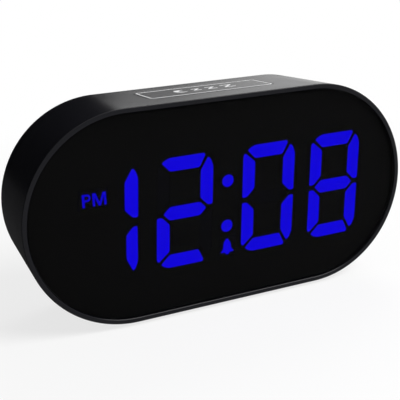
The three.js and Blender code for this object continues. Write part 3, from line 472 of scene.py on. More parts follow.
# Name, dark and light tone, roughness where dull and where bright, specular level, pits a metre and relief.
# A low specular level keeps the black mouldings black in white surroundings.
plastics = {
    "shell": ("satinBlackMoulding", (0.003, 0.003, 0.0043), (0.006, 0.006, 0.0084), 0.25, 0.21, 0.12),
    "key": ("keyMoulding", (0.003, 0.003, 0.0043), (0.006, 0.006, 0.0084), 0.25, 0.21, 0.12),
    "back_shell": ("grainedBlackMoulding", (0.012, 0.012, 0.013), (0.022, 0.022, 0.024), 0.6, 0.48, 0.2,
                   1600, 0.7),
    "control": ("controlMoulding", (0.022, 0.022, 0.024), (0.036, 0.036, 0.04), 0.48, 0.38, 0.35),
    "rubber": ("mattRubber", (0.008, 0.008, 0.008), (0.02, 0.02, 0.02), 0.9, 0.75, 0.2, 3000, 0.5),
    "white_plastic": ("whiteMoulding", (0.72, 0.72, 0.7), (0.82, 0.82, 0.8), 0.5, 0.4),
    "black_parts": ("componentMoulding", (0.01, 0.01, 0.011), (0.022, 0.022, 0.024), 0.55, 0.4),
    "mask": ("mattMaskFilm", (0.002, 0.002, 0.002), (0.004, 0.004, 0.004), 0.7, 0.6, 0.05),
    "light_guide": ("darkDiffuser", (0.002, 0.002, 0.004), (0.004, 0.004, 0.007), 0.6, 0.5, 0.05),
    "cable": ("flexInsulation", (0.25, 0.26, 0.28), (0.36, 0.37, 0.39), 0.55, 0.45, 0.5, 900),
    "print": ("palePadPrint", (0.66, 0.66, 0.67), (0.82, 0.82, 0.83), 0.6, 0.5, 0.1, 5000),
    "cell": ("cellLabel", (0.02, 0.055, 0.12), (0.03, 0.075, 0.15), 0.35, 0.28, 0.5, 500),
    "cellBand": ("cellBand", (0.5, 0.5, 0.5), (0.62, 0.62, 0.61), 0.35, 0.28, 0.5, 500),
    "greyCard": ("greyCard", (0.012, 0.012, 0.013), (0.016, 0.016, 0.017), 0.7, 0.6),
}
# Name, dark and light tone, drawing lines a metre, and how far they are stretched.
metals = {
    "steel": ("platedSteel", (0.36, 0.37, 0.38), (0.52, 0.53, 0.54), 4000, 0.4),
    "blackSteel": ("blackenedSteel", (0.05, 0.05, 0.055), (0.1, 0.1, 0.105), 4000, 0.4),
    "tin": ("tinnedSheet", (0.55, 0.56, 0.58), (0.68, 0.69, 0.71), 2500, 0.05),
}
finishes = {slotName: mouldedPlastic(*facts) for slotName, facts in plastics.items()}
finishes |= {slotName: drawnSheet(*facts) for slotName, facts in metals.items()}
finishes |= {"circuit_board": circuitBoard(), "window": smokedAcrylic(),
             "display_light": litDiffuser("litStroke", lit["strokes"]),
             "litLegend": litDiffuser("litLegend", lit["legends"])}
# what stays on show as the CAD has it, such as the boards, takes the finish of its slot too
for subpart in frame["record"]["subparts"]:
    node = frame["nodes"][subpart["node"]]
    node.data.materials.clear()
    node.data.materials.append(finishes[subpart["material_slot"]])
print("finishes made")

sleeve = {"wall": 2.0, "rim": 1.57, "seat": 2.6, "seatFront": -15.05, "seatBack": -13.55, "round": 0.35,
          "roundSteps": 5, "skinSteps": 8, "innerSoft": 0.12}
# bosses and ribs inside the sleeve; a hole is its start, end and radius
boss = {
    "start": -14.05, "end": 13.55, "radius": 3.2, "coverHole": (3.55, 14.5, 1.3),  # for the cover's screws
    "smallEnd": -7.15, "smallRadius": 2.6, "displayHole": (-12.15, -6, 1.1),  # for the display board's
    "keyOut": 27.98, "keyLow": 25.0, "keyTop": 33, "keyHole": (24, 29.9, 1.1),  # beside the key
    "rib": 1.4, "inWall": 2.2, "beforeTurn": 2.1, "sideRadius": 33.3, "inSide": 0.7,  # ribs, into the wall
}
key = {
    "x": 1.4, "y": 0.8, "length": 44.55, "width": 15.4, "corner": 1.8, "soft": 0.1,
    "gap": 0.25, "shownGap": 0.1, "cutLow": 24,  # the opening, and what the cap leaves of its gap
    "low": 29.7, "skin": 1.6, "flange": 1.6, "flangeTop": 31.0,
    "hollowLow": 28, "hollowTop": 32.1, "ceiling": 32.4,
    "webLow": 30.7, "webHalf": 0.5, "plunger": 2.2, "plungerLow": 30.1,
    "legX": 17.0, "legLow": 22.5, "legRadius": 1.5,
}
foot = {"radius": 4.0, "seat": 0.8, "fit": 0.15, "floor": -35.7, "soft": 0.5}
footNames = ("front_left", "rear_left", "front_right", "rear_right")
coverScrews, displayScrews, mainScrews = ([nodeMiddle(f"{board}_screw_{i}") for i in (1, 2, 3, 4)]
                                          for board in ("rear_cover", "display_board", "main_board"))


def sleeveSection():
    # (inset, y) round the wall: front edge, skin, back edge, inside, window seat, rim
    r, soft = sleeve["round"], sleeve["innerSoft"]
    wall, rim, seat = sleeve["wall"], sleeve["rim"], sleeve["rim"] + sleeve["seat"]
    turns = quarter(sleeve["roundSteps"])
    front = [(r * (1 - math.sin(a)), frontY + r * (1 - math.cos(a))) for a in turns]
    span = case["depth"] - 2 * r
    skin = [(0, frontY + r + span * i / sleeve["skinSteps"]) for i in range(1, sleeve["skinSteps"])]
    back = [(r * (1 - math.cos(a)), backY - r * (1 - math.sin(a))) for a in turns]
    inside = [(wall - soft, backY), (wall, backY - soft), (wall, sleeve["seatBack"]),
              (seat, sleeve["seatBack"]), (seat, sleeve["seatFront"]), (rim, sleeve["seatFront"]),
              (rim, frontY + soft), (rim - soft, frontY)]
    return front + skin + back + inside


def keyOutline(grow):
    return softBox(key["x"], key["y"], key["length"] + 2 * grow, key["width"] + 2 * grow,
                   key["corner"] + grow)


def onKey(points, lift):
    return [(x, y, topSkin(y) + lift) for x, y in points]


def keyPins(out, low, high, radius, sides=48):
    # a pair of pins, one to each side of the key's middle
    return [pin(key["x"] + side * out, key["y"], low, high, radius, sides) for side in (-1, 1)]


def keyOpening():
    gap, soft = key["gap"], key["soft"]
    rings = [[(x, y, key["cutLow"]) for x, y in keyOutline(gap)]]
    mouth = ((gap, -soft), (gap + 0.3 * soft, -0.3 * soft), (gap + soft, 0), (gap + 4 * soft, past))
    return lofted(rings + [onKey(keyOutline(grow), rise) for grow, rise in mouth])


def sleeveBosses():
    made = []
    half, start = boss["rib"] / 2, boss["start"]
    for place in coverScrews:
        x, z = place.x, place.z
        # the rib ends inside the wall, where the outline has begun to turn
        over = max(abs(x) - flatHalf + boss["beforeTurn"], 0)
        wallZ = math.copysign(math.sqrt((case["height"] / 2 - boss["inWall"]) ** 2 - over ** 2), z)
        made.append(rod(x, z, start, boss["end"], boss["radius"]))
        made.append(block(x - half, x + half, start, boss["end"], min(z, wallZ), max(z, wallZ)))
    for place in displayScrews:
        x, z = place.x, place.z
        over = abs(z) + half
        wallX = math.copysign(flatHalf + math.sqrt(boss["sideRadius"] ** 2 - over ** 2) - boss["inSide"], x)
        made.append(rod(x, z, start, boss["smallEnd"], boss["smallRadius"]))
        made.append(block(min(x, wallX), max(x, wallX), start, boss["smallEnd"], z - half, z + half))
    return made + keyPins(boss["keyOut"], boss["keyLow"], boss["keyTop"], boss["smallRadius"])


def makeSleeve():
    base = lofted([ovalRing(inset, y) for inset, y in sleeveSection()], closedRound=True)
    cuts = [keyOpening()]
    for screws, hole in ((coverScrews, boss["coverHole"]), (displayScrews, boss["displayHole"])):
        cuts += [rod(place.x, place.z, *hole, holeSides) for place in screws]
    cuts += keyPins(boss["keyOut"], *boss["keyHole"], holeSides)
    for name in footNames:
        place = nodeMiddle(f"foot_{name}")
        seat = -topSkin(place.y) + foot["seat"]
        cuts.append(pin(place.x, place.y, foot["floor"] - past, seat, foot["radius"] + foot["fit"]))
    finishPiece(shaped(base, sleeveBosses(), cuts), "sleeve", "shell", ["housing_sleeve"])


def makeFeet():
    r, soft = foot["radius"], foot["soft"]
    lip = [(r - soft + soft * math.sin(a), foot["floor"] + soft * (1 - math.cos(a))) for a in quarter(5)]
    for name in footNames:
        high, place = nodeSpan(f"foot_{name}")[1:]
        pad = turned([(0, foot["floor"]), *lip, (r, high.z), (0, high.z)])
        moved(pad, place.x, place.y, 0, Matrix.Rotation(math.pi / 2, 4, "X"))
        finishPiece(pad, f"foot_pad_{name}", "rubber", [f"foot_{name}"])


makeSleeve()
makeFeet()
print("sleeve and feet made")

window = {"inset": 1.9, "thick": 1.5, "soft": 0.2}
display = {
    "x": 0.3, "z": -1.05, "front": -15.62, "thick": 0.06, "slant": 3.4,
    "reach": 51.5, "height": 36.0, "figureWidth": 0.376, "colonPitch": 0.586,  # the last two times the reach
    "stroke": 4.4, "gap": 1.0, "corner": 0.6,
    "dotRise": 0.21, "dotRadius": 2.03,  # the rise is a share of the height
    "bellX": -0.26, "bellZ": -15.8, "pmX": -48.2, "pmZ": 5.6, "pmHeight": 4.1, "pmStroke": 0.8,
}


def makeWindow():
    inset, soft, back = window["inset"], window["soft"], frontY + window["thick"]
    section = [(inset + soft, frontY), (inset + 0.3 * soft, frontY + 0.3 * soft), (inset, frontY + soft),
               (inset, back - soft), (inset + soft, back)]
    sheet = lofted([ovalRing(inset, y) for inset, y in section])
    finishPiece(sheet, "window_sheet", "window", ["front_window"])


def flipped(stroke):
    return [(u, -v) for u, v in reversed(stroke)]


def figureStrokes():
    # one figure, upright and centred; the outer shoulders are round and the mitres steeper on the right
    w, h = display["figureWidth"] * display["reach"] / 2, display["height"] / 2
    s, g = display["stroke"], display["gap"]
    top = [(-w + 1.5 * g, h - 1.5 * g), (-w + 2.6 * g, h - 0.6 * g), (-w + 4.2 * g, h), (w - 3.3 * g, h),
           (w - 2.9 * g, h - 0.7 * g), (w - s - 0.4 * g, h - s), (-w + s, h - s)]
    upperLeft = [(-w, h - 3.5 * g), (-w + 0.3 * g, h - 2.6 * g), (-w + 0.9 * g, h - 2.5 * g),
                 (-w + s, h - s - 1.1 * g), (-w + s, s / 2 + 1.4 * g), (-w + 1.7 * g, 0.9 * g), (-w, 0.9 * g)]
    upperRight = [(w - 1.9 * g, h - 1.4 * g), (w - 0.9 * g, h - 2.3 * g), (w, h - 4.6 * g), (w, 0.9 * g),
                  (w - 1.7 * g, 0.9 * g), (w - s, s / 2 + 1.4 * g), (w - s, h - s - 1.2 * g)]
    middle = [(-w + s / 2, 0), (-w + s, s / 2), (w - s, s / 2), (w - s / 2, 0), (w - s, -s / 2),
              (-w + s, -s / 2)]
    # the leading figure's lower stroke is shorter and a little narrower
    lowerLead = [(w - s + 0.5 * g, -s / 2 - 2.3 * g), (w - 1.6 * g, -2.0 * g), (w - 0.2 * g, -2.0 * g),
                 (w - 0.1 * g, -h + 4.6 * g), (w - 0.9 * g, -h + 2.3 * g), (w - 1.6 * g, -h + 1.4 * g),
                 (w - s + 0.5 * g, -h + s + 1.4 * g)]
    return {"top": top, "upperLeft": upperLeft, "upperRight": upperRight, "middle": middle,
            "bottom": flipped(top), "lowerLeft": flipped(upperLeft), "lowerRight": flipped(upperRight),
            "lowerLead": lowerLead}


def roundedCorners(corners, radius, steps=5):
    points = []
    for i, corner in enumerate(corners):
        here = Vector(corner)
        before, after = Vector(corners[i - 1]) - here, Vector(corners[(i + 1) % len(corners)]) - here
        reach = min(radius, 0.45 * before.length, 0.45 * after.length)
        start, end = here + before.normalized() * reach, here + after.normalized() * reach
        for j in range(steps + 1):
            t = j / steps
            points.append(tuple((1 - t) ** 2 * start + 2 * t * (1 - t) * here + t * t * end))
    return points


def slanted(points, x=0.0):
    lean = math.tan(math.radians(display["slant"]))
    return [(display["x"] + x + u + v * lean, display["z"] + v) for u, v in points]


def litPlate(loops, name, finish=None):
    # a thin lit face just inside the front of the mask's opening
    plate = newObject(thickened(flatMesh(loops), display["front"], display["thick"]))
    finishPiece(plate, name, "display_light", finish=finish)


def bellOutline():
    side = [(0.0, 2.75), (0.35, 2.65), (0.55, 2.2), (1.05, 1.75), (1.3, 1.0), (1.4, -0.3), (1.75, -1.05),
            (2.3, -1.6), (2.3, -1.95), (0.75, -1.95), (0.6, -2.5), (0.25, -2.75)]
    outline = side + [(-u, v) for u, v in reversed(side[1:])]
    return [(display["bellX"] + u, display["bellZ"] + v) for u, v in outline]


def afternoonLetters():
    # P and M in a plain upright face
    h, s = display["pmHeight"], display["pmStroke"]
    x0, z0 = display["pmX"], display["pmZ"]
    top, bowl, right = z0 + h, 0.29 * h, x0 + 0.38 * h
    letterP = [(x0, z0), (x0 + s, z0), (x0 + s, top - 2 * bowl), *arc(right, top - bowl, bowl, -90, 90),
               (x0, top)]
    counter = [(x0 + s, top - 2 * bowl + 0.8 * s), (x0 + s, top - 0.8 * s),
               *arc(right, top - bowl, bowl - 0.8 * s, 90, -90)]
    m0, m1 = x0 + 0.8 * h, x0 + 1.86 * h
    mid = (m0 + m1) / 2
    letterM = [(m0, z0), (m0 + 0.9 * s, z0), (m0 + 0.9 * s, top - 1.7 * s), (mid - 0.42 * s, z0),
               (mid + 0.42 * s, z0), (m1 - 0.9 * s, top - 1.7 * s), (m1 - 0.9 * s, z0), (m1, z0), (m1, top),
               (m1 - 1.3 * s, top), (mid, z0 + 1.35 * s), (m0 + 1.3 * s, top), (m0, top)]
    return {"p": [letterP, counter], "m": [letterM]}


def makeDisplay():
    strokes = figureStrokes()
    height, colon = display["height"], display["colonPitch"] * display["reach"]
    lean = math.tan(math.radians(display["slant"])) * height / 2
    pair = display["reach"] - lean - (colon + display["figureWidth"] * display["reach"]) / 2
    whole = ("top", "upperLeft", "upperRight", "middle", "lowerLeft", "lowerRight", "bottom")
    shown = {"hour_tens": (-colon / 2 - pair, ("upperRight", "lowerLead")),
             "hour_units": (-colon / 2, ("top", "upperRight", "middle", "lowerLeft", "bottom")),
             "minute_tens": (colon / 2, tuple(name for name in whole if name != "middle")),
             "minute_units": (colon / 2 + pair, whole)}
    for figure, (x, names) in shown.items():
        for name in names:
            outline = slanted(roundedCorners(strokes[name], display["corner"]), x)
            litPlate([outline], f"lit_{figure}_{name}")
    for name, side in (("upper", 1), ("lower", -1)):
        litPlate([slanted(circle(0, side * display["dotRise"] * height, display["dotRadius"]))],
                 f"lit_{name}_dot")
    litPlate([bellOutline()], "lit_bell")
    for name, loops in afternoonLetters().items():
        litPlate(loops, f"lit_letter_{name}", "litLegend")


makeWindow()
makeDisplay()
print("window and display made")

keyPrint = {"line": 0.5, "edge": 0.42, "thick": 0.04, "sink": 0.02, "stroke": 0.62, "moonX": -8.2,
            "moonY": 0.5, "moon": 2.5, "marks": [(-2.8, 3.2), (2.6, 3.8), (8.8, 4.6)]}


def makeKey():
    soft, grow, low, ceiling = key["soft"], key["gap"] - key["shownGap"], key["low"], key["ceiling"]
    rings = [[(x, y, low) for x, y in keyOutline(grow)]]
    for a in quarter(4):
        rings.append(onKey(keyOutline(grow - soft * (1 - math.cos(a))), -soft * (1 - math.sin(a))))
    flange = alongZ(lambda grow: keyOutline(key["flange"]), [(0, low), (0, key["flangeTop"])])
    hollow = alongZ(lambda grow: keyOutline(-key["skin"]), [(0, key["hollowLow"]), (0, key["hollowTop"])])
    cap = shaped(lofted(rings), [flange], [hollow])
    plunger = pin(key["x"], key["y"], key["plungerLow"], ceiling, key["plunger"])
    web = block(key["x"] - key["legX"], key["x"] + key["legX"], key["y"] - key["webHalf"],
                key["y"] + key["webHalf"], key["webLow"], ceiling)
    shaped(cap, [plunger, web, *keyPins(key["legX"], key["legLow"], ceiling, key["legRadius"])])
    finishPiece(cap, "snooze_cap", "key", ["snooze_key"], "snooze_key")


def sleepSign():
    # the common sign for sleep: a crescent and three growing zig-zags
    cx, cy, r = key["x"] + keyPrint["moonX"], key["y"] + keyPrint["moonY"], keyPrint["moon"]
    shapes = [arc(cx, cy, r, 56, 304, 28) + arc(cx + 0.55 * r, cy, 0.82 * r, 270, 90, 22)]
    s = keyPrint["stroke"]
    for x, size in keyPrint["marks"]:
        w, h = 0.44 * size, 0.5 * size
        half = [(-w, h), (w, h), (w, h - s), (-w + 1.6 * s, -h + s), (w, -h + s)]
        shapes.append([(key["x"] + x + side * u, cy + side * v) for side in (1, -1) for u, v in half])
    return shapes


def makeKeyPrint():
    # border line round the key
    thick, sink = keyPrint["thick"], keyPrint["sink"]
    outer, inner = (keyOutline(-keyPrint["edge"] - line) for line in (0, keyPrint["line"]))
    rings = [onKey(outer, -sink), onKey(outer, thick), onKey(inner, thick), onKey(inner, -sink)]
    finishPiece(lofted(rings, closedRound=True), "key_line", "print", body="snooze_key")
    for i, points in enumerate(sleepSign()):
        mesh = thickened(flatMesh([points]), -sink, thick + sink)
        for vertex in mesh.verts:
            x, lift, y = vertex.co
            vertex.co = (x, y, topSkin(y) + lift)
        bmesh.ops.recalc_face_normals(mesh, faces=mesh.faces)
        finishPiece(newObject(mesh), f"key_mark_{i + 1}", "print", body="snooze_key")


makeKey()
makeKeyPrint()
print("snooze key made")

cover = {
    "inner": 13.65, "outer": 15.65, "inset": 2.25, "soft": 0.25,  # the panel between its two faces
    "under": 0.8, "mouth": 0.22,  # how far inside the panel a hole starts, and the chamfer at its mouth
    "bayX": 26.2, "bayTop": -3.75, "bayLow": -28.05, "bayFloor": 2.95, "bayWall": 1.2, "hollowX": 25.0,
    "tagX": 24.25, "tagHalf": 1.25,  # slits for the contacts' tags
    "ringGap": 0.1, "ringWall": 1.2, "ringStart": 11.15, "ringUnder": 0.5, "ringSides": 72,  # speaker ring
    "post": 2.6, "postStart": 5.6, "postHole": (5.2, 10.5, 1.1),  # the hole is its start, end and radius
    "headRadius": 2.55, "headSink": 1.0, "shankRadius": 1.45,
    "slotPitch": 2.9, "slotHeight": 1.4, "slotRound": 0.65, "slotMouth": 0.15, "slotMargin": 2,
    "buttonHole": 3.45, "jackHole": 4.5, "wheelGap": 0.3, "wheelEnds": 0.5, "wheelRound": 0.4,
    "sliderX": -42.0, "sliderWidth": 6.2, "sliderHeight": 2.9, "sliderRound": 0.5,
}
lid = {
    "halfWidth": 26.0, "low": -27.85, "high": -3.95, "thick": 1.5, "round": 0.6, "soft": 0.25,
    "seatGap": 0.25, "seatRound": 0.7, "seatUnder": 0.1,
    "tabX": 14.0, "tabHalf": 2.0, "tabReach": 1.5, "tabThick": 1, "tabLeg": 1.3, "tabRoot": 2.6,
    "tabGap": 0.3, "tabPocket": 2.4,
    "latchHalf": 5.0, "latchDrop": 1.6, "latchReach": 1.8, "latchThick": 1,  # drops are from the lid's top
    "thumbDrop": 2.4, "thumbWidth": 12.0, "thumbHeight": 2.8, "thumbRound": 1.3, "thumbDepth": 0.6,
    "thumbMouth": 0.15, "gripPitch": 3.0, "gripWidth": 0.7, "gripHeight": 2.0, "gripSoft": 0.15,
    "arrowHalf": 1.7, "arrowTop": 2.9, "arrowTip": 5.2, "arrowRise": 0.12,  # down from the thumb recess
}
buttonNames = ("time", "alarm", "hour", "minute")
sliderNames = ("alarm", "volume")


def coverHoles():
    inside, outside, mouth = cover["inner"] - cover["under"], cover["outer"], cover["mouth"]
    through = flared(inside, outside, mouth)
    made = []
    for name in buttonNames:
        place = nodeMiddle(f"{name}_button")
        made.append(bore(place.x, place.z, inside, outside, cover["buttonHole"], mouth))
    for name in sliderNames:
        made.append(boxSection(cover["sliderX"], nodeMiddle(f"{name}_slider").z, cover["sliderWidth"],
                               cover["sliderHeight"], cover["sliderRound"], through))
    low, high, place = nodeSpan("dimmer_wheel")
    reach = (high.x - low.x) / 2
    chord = 2 * math.sqrt(reach ** 2 - (cover["inner"] - place.y) ** 2) + cover["wheelEnds"]
    made.append(boxSection(place.x, place.z, chord, high.z - low.z + 2 * cover["wheelGap"],
                           cover["wheelRound"], through))
    jack = nodeMiddle("dc_jack")
    made.append(bore(jack.x, jack.z, inside, outside, cover["jackHole"], mouth))
    for place in coverScrews:
        made.append(rod(place.x, place.z, cover["inner"] - past, outside + past, cover["shankRadius"]))
        made.append(bore(place.x, place.z, outside - cover["headSink"], outside, cover["headRadius"], mouth))
    # sound slots, as long as the circle in front of the speaker lets them be
    low, high, place = nodeSpan("speaker")
    reach = (high.x - low.x) / 2 - cover["slotMargin"]
    count = int(reach / cover["slotPitch"])
    for i in range(-count, count + 1):
        rise = i * cover["slotPitch"]
        made.append(boxSection(place.x, place.z + rise, 2 * math.sqrt(reach ** 2 - rise ** 2),
                               cover["slotHeight"], cover["slotRound"],
                               flared(inside, outside, cover["slotMouth"])))
    return made


def makeCover():
    soft, inset, inner, outer = cover["soft"], cover["inset"], cover["inner"], cover["outer"]
    panel = lofted([ovalRing(inset, inner), ovalRing(inset, outer - soft),
                    ovalRing(inset + 0.3 * soft, outer - 0.3 * soft), ovalRing(inset + soft, outer)])
    inside, wall, floor = inner + root, cover["bayWall"], cover["bayFloor"]
    low, high, speaker = nodeSpan("speaker")
    radius = (high.x - low.x) / 2 + cover["ringGap"]
    bay = block(-cover["bayX"], cover["bayX"], floor - wall, inside, cover["bayLow"], cover["bayTop"])
    ring = rod(speaker.x, speaker.z, cover["ringStart"], inside, radius + cover["ringWall"],
               cover["ringSides"])
    posts = [rod(place.x, place.z, cover["postStart"], inside, cover["post"]) for place in mainScrews]
    shaped(panel, [bay, ring, *posts])
    hollowX, gap = cover["hollowX"], lid["seatGap"]
    hollow = block(-hollowX, hollowX, floor, outer + past, cover["bayLow"] + wall, cover["bayTop"] - wall)
    seat = boxSection(0, (lid["low"] + lid["high"]) / 2, 2 * (lid["halfWidth"] + gap),
                      lid["high"] - lid["low"] + 2 * gap, lid["seatRound"],
                      flared(outer - lid["thick"] - lid["seatUnder"], outer, cover["mouth"]))
    pocket, tabX = lid["tabHalf"] + gap, lid["tabX"]
    tabs = [block(x - pocket, x + pocket, inner - lid["tabPocket"], inner, lid["low"] - lid["tabReach"] - gap,
                  (cover["bayTop"] + cover["bayLow"]) / 2) for x in (-tabX, tabX)]
    cellHeights = [nodeMiddle(f"battery_cell_{i}").z for i in (1, 2)]
    tags = [block(cover["tagX"], hollowX, floor - wall - past, floor + past, z - cover["tagHalf"],
                  z + cover["tagHalf"]) for z in cellHeights]
    cone = rod(speaker.x, speaker.z, cover["ringStart"] - cover["ringUnder"], inner, radius,
               cover["ringSides"])
    bores = [rod(place.x, place.z, *cover["postHole"], holeSides) for place in mainScrews]
    shaped(panel, (), [hollow, seat, *tabs, *tags, cone, *bores, *coverHoles()])
    finishPiece(panel, "back_panel", "back_shell", ["rear_cover"])


def lidHooks():
    # two hooked tabs along the foot of the lid, and the latch tongue along its top
    inner, back = cover["outer"] - lid["thick"], cover["inner"] - lid["tabGap"]
    start, top = back - lid["tabThick"], lid["low"] + lid["tabRoot"]
    made = []
    for x in (-lid["tabX"], lid["tabX"]):
        sides = (x - lid["tabHalf"], x + lid["tabHalf"])
        made.append(block(*sides, start, back, lid["low"] - lid["tabReach"] + lid["tabGap"], top))
        made.append(block(*sides, start, inner + root, lid["low"] + lid["tabLeg"], top))
    latchTop = lid["high"] - lid["latchDrop"]
    made.append(block(-lid["latchHalf"], lid["latchHalf"], inner - lid["latchReach"], inner + root,
                      latchTop - lid["latchThick"], latchTop))
    return made


def makeLid():
    outer, thumbZ, depth = cover["outer"], lid["high"] - lid["thumbDrop"], lid["thumbDepth"]
    plate = boxSection(0, (lid["low"] + lid["high"]) / 2, 2 * lid["halfWidth"], lid["high"] - lid["low"],
                       lid["round"], crowned(outer - lid["thick"], outer, lid["soft"]))
    thumb = boxSection(0, thumbZ, lid["thumbWidth"], lid["thumbHeight"], lid["thumbRound"],
                       flared(outer - depth, outer, lid["thumbMouth"]))
    shaped(plate, lidHooks(), [thumb])
    # grip ridges in the thumb recess, and an arrow that shows where to push
    width = lid["gripWidth"]
    grips = [boxSection(lid["gripPitch"] * i, thumbZ, width, lid["gripHeight"], width / 2,
                        crowned(outer - depth - root, outer - root, lid["gripSoft"])) for i in (-1, 0, 1)]
    arrow = [(0, thumbZ - lid["arrowTip"])]
    arrow += [(side * lid["arrowHalf"], thumbZ - lid["arrowTop"]) for side in (1, -1)]
    mark = acrossY(lambda grow: arrow, [(0, outer - root), (0, outer + lid["arrowRise"])])
    shaped(plate, [*grips, mark])
    finishPiece(plate, "battery_lid", "back_shell", ["battery_door"], "battery_door")


makeCover()
makeLid()
print("back cover and battery lid made")

controlBack = cover["inner"] - 0.3  # the flanges of the controls lie behind the cover
# dishSteps and dishEnd are shares of a button's radius
button = {"flange": 4.5, "flangeThick": 1, "radius": 3.2, "stem": 1.5, "soft": 0.55, "dish": 0.25,
          "dishEnd": 0.8, "dishSteps": (0.78, 0.6, 0.4, 0.2)}
knob = {"halfWidth": 1.6, "halfHeight": 1.2, "round": 0.35, "lapX": 3.0, "lapZ": 1, "plate": 0.8,
        "stemX": 0.7, "stemZ": 0.5, "stemRoot": 0.6, "soft": 0.22, "groove": 0.24, "grooveLift": 0.05,
        "grooveHalf": 3, "groovePitch": 1, "grooveSides": 20}
wheel = {"ridges": 24, "ridgeSteps": 8, "ridgeDepth": 0.38, "soft": 0.35, "hole": 1.55}
# the tip of the pin is (share of its radius, distance from its end)
jackFit = {"collar": 4.2, "collarStart": 13.0, "face": 15.45, "bodyEnd": 13.35, "bodyRound": 0.4,
           "soft": 0.3, "bore": 2.9, "boreEnd": 8.0, "boreMouth": 0.25, "pin": 0.9, "pinRoot": 0.3,
           "pinEnd": 14.65, "pinTip": ((1, 0.5), (0.8, 0.15), (0.4, 0)), "pinSides": 32}
# the cross slot narrows by the first of its tapers at the foot and opens by the second above the head
screwHead = {"shank": 1.2, "radius": 2.25, "sit": 0.1, "edge": 0.35, "arm": 1.25, "slit": 0.3,
             "depth": 0.85, "above": 0.5, "tapers": (-0.1, 0.05), "armRound": 0.05, "firstTurn": 17,
             "turn": 31}


def makeButtons():
    r, soft, dish, flange = button["radius"], button["soft"], button["dish"], button["flange"]
    front = controlBack - button["flangeThick"]
    for name in buttonNames:
        low, high, place = nodeSpan(f"{name}_button")
        edge = [(r - soft + soft * math.cos(a), high.y - soft + soft * math.sin(a)) for a in quarter(5)]
        face = [(r * k, high.y - dish * (1 - (k / button["dishEnd"]) ** 2)) for k in button["dishSteps"]]
        cap = turned([(0, low.y), (button["stem"], low.y), (button["stem"], front), (flange, front),
                      (flange, controlBack), (r, controlBack), *edge, *face, (0, high.y - dish)])
        moved(cap, place.x, 0, place.z)
        finishPiece(cap, f"{name}_cap", "control", [f"{name}_button"], f"{name}_button")


def makeKnobs():
    w, h = knob["halfWidth"], knob["halfHeight"]
    lapX, lapZ, stemX, stemZ = w + knob["lapX"], h + knob["lapZ"], knob["stemX"], knob["stemZ"]
    for name in sliderNames:
        low, high, place = nodeSpan(f"{name}_slider")
        x, z = place.x, place.z
        grip = boxSection(x, z, 2 * w, 2 * h, knob["round"],
                          crowned(controlBack - root, high.y, knob["soft"]))
        plate = block(x - lapX, x + lapX, controlBack - knob["plate"], controlBack, z - lapZ, z + lapZ)
        stem = block(x - stemX, x + stemX, low.y, controlBack - knob["stemRoot"], z - stemZ, z + stemZ)
        half = knob["grooveHalf"]
        grooves = [pin(x + knob["groovePitch"] * i, high.y + knob["grooveLift"], z - half, z + half,
                       knob["groove"], knob["grooveSides"]) for i in (-1, 0, 1)]
        shaped(grip, [plate, stem], grooves)
        finishPiece(grip, f"{name}_knob", "control", [f"{name}_slider"], f"{name}_slider")


def makeWheel():
    low, high, place = nodeSpan("dimmer_wheel")
    radius, depth, ridges = (high.x - low.x) / 2, wheel["ridgeDepth"] / 2, wheel["ridges"]
    steps = wheel["ridgeSteps"] * ridges

    def rim(grow):
        points = []
        for i in range(steps):
            a = 2 * math.pi * i / steps
            r = radius + grow - depth * (1 - math.cos(ridges * a))
            points.append((place.x + r * math.cos(a), place.y + r * math.sin(a)))
        return points

    soft = wheel["soft"]
    disc = alongZ(rim, [(-soft, low.z), (0, low.z + soft), (0, high.z - soft), (-soft, high.z)])
    shaped(disc, (), [pin(place.x, place.y, low.z - past, high.z + past, wheel["hole"])])
    finishPiece(disc, "wheel_disc", "control", ["dimmer_wheel"], "dimmer_wheel")


def makeJack():
    low, high = nodeSpan("dc_jack")[:2]
    x, z, soft = (low.x + high.x) / 2, (low.z + high.z) / 2, jackFit["soft"]
    body = boxSection(x, z, high.x - low.x, high.z - low.z, jackFit["bodyRound"],
                      crowned(low.y, jackFit["bodyEnd"], soft))
    collar = acrossY(lambda grow: circle(x, z, jackFit["collar"] + grow),
                     crowned(jackFit["collarStart"], jackFit["face"], soft))
    socket = bore(x, z, jackFit["boreEnd"], jackFit["face"], jackFit["bore"], jackFit["boreMouth"])
    shaped(body, [collar], [socket])
    finishPiece(body, "inlet_body", "black_parts", ["dc_jack"])
    r, start, end = jackFit["pin"], jackFit["boreEnd"] - jackFit["pinRoot"], jackFit["pinEnd"]
    tip = [(share * r, end - back) for share, back in jackFit["pinTip"]]
    contact = turned([(0, start), (r, start), *tip, (0, end)], jackFit["pinSides"])
    finishPiece(moved(contact, x, 0, z), "inlet_pin", "steel", ["dc_jack"])


def makeScrews():
    r, s, arm, slit = screwHead["radius"], screwHead["shank"], screwHead["arm"], screwHead["slit"]
    seat = cover["outer"] - cover["headSink"] + screwHead["sit"]
    start = seat + screwHead["edge"]
    for i, place in enumerate(coverScrews):
        node = f"rear_cover_screw_{i + 1}"
        low, high = nodeSpan(node)[:2]
        dome = [(r * math.cos(a), start + (high.y - start) * math.sin(a)) for a in quarter(7)[:-1]]
        shank = [(0, low.y), (0.5 * s, low.y), (s, low.y + s), (s, seat)]
        body = turned([*shank, (r, seat), *dome, (0, high.y)])
        levels = list(zip(screwHead["tapers"], (high.y - screwHead["depth"], high.y + screwHead["above"])))
        cross = [acrossY(lambda grow, w=w, t=t: softBox(0, 0, 2 * (w + grow), 2 * (t + grow),
                                                        screwHead["armRound"]), levels)
                 for w, t in ((arm, slit), (slit, arm))]
        shaped(body, (), cross)
        lie = Matrix.Rotation(math.radians(screwHead["firstTurn"] + screwHead["turn"] * i), 4, "Y")
        finishPiece(moved(body, place.x, 0, place.z, lie), f"cover_screw_{i + 1}", "steel", [node],
                    finish="blackSteel")


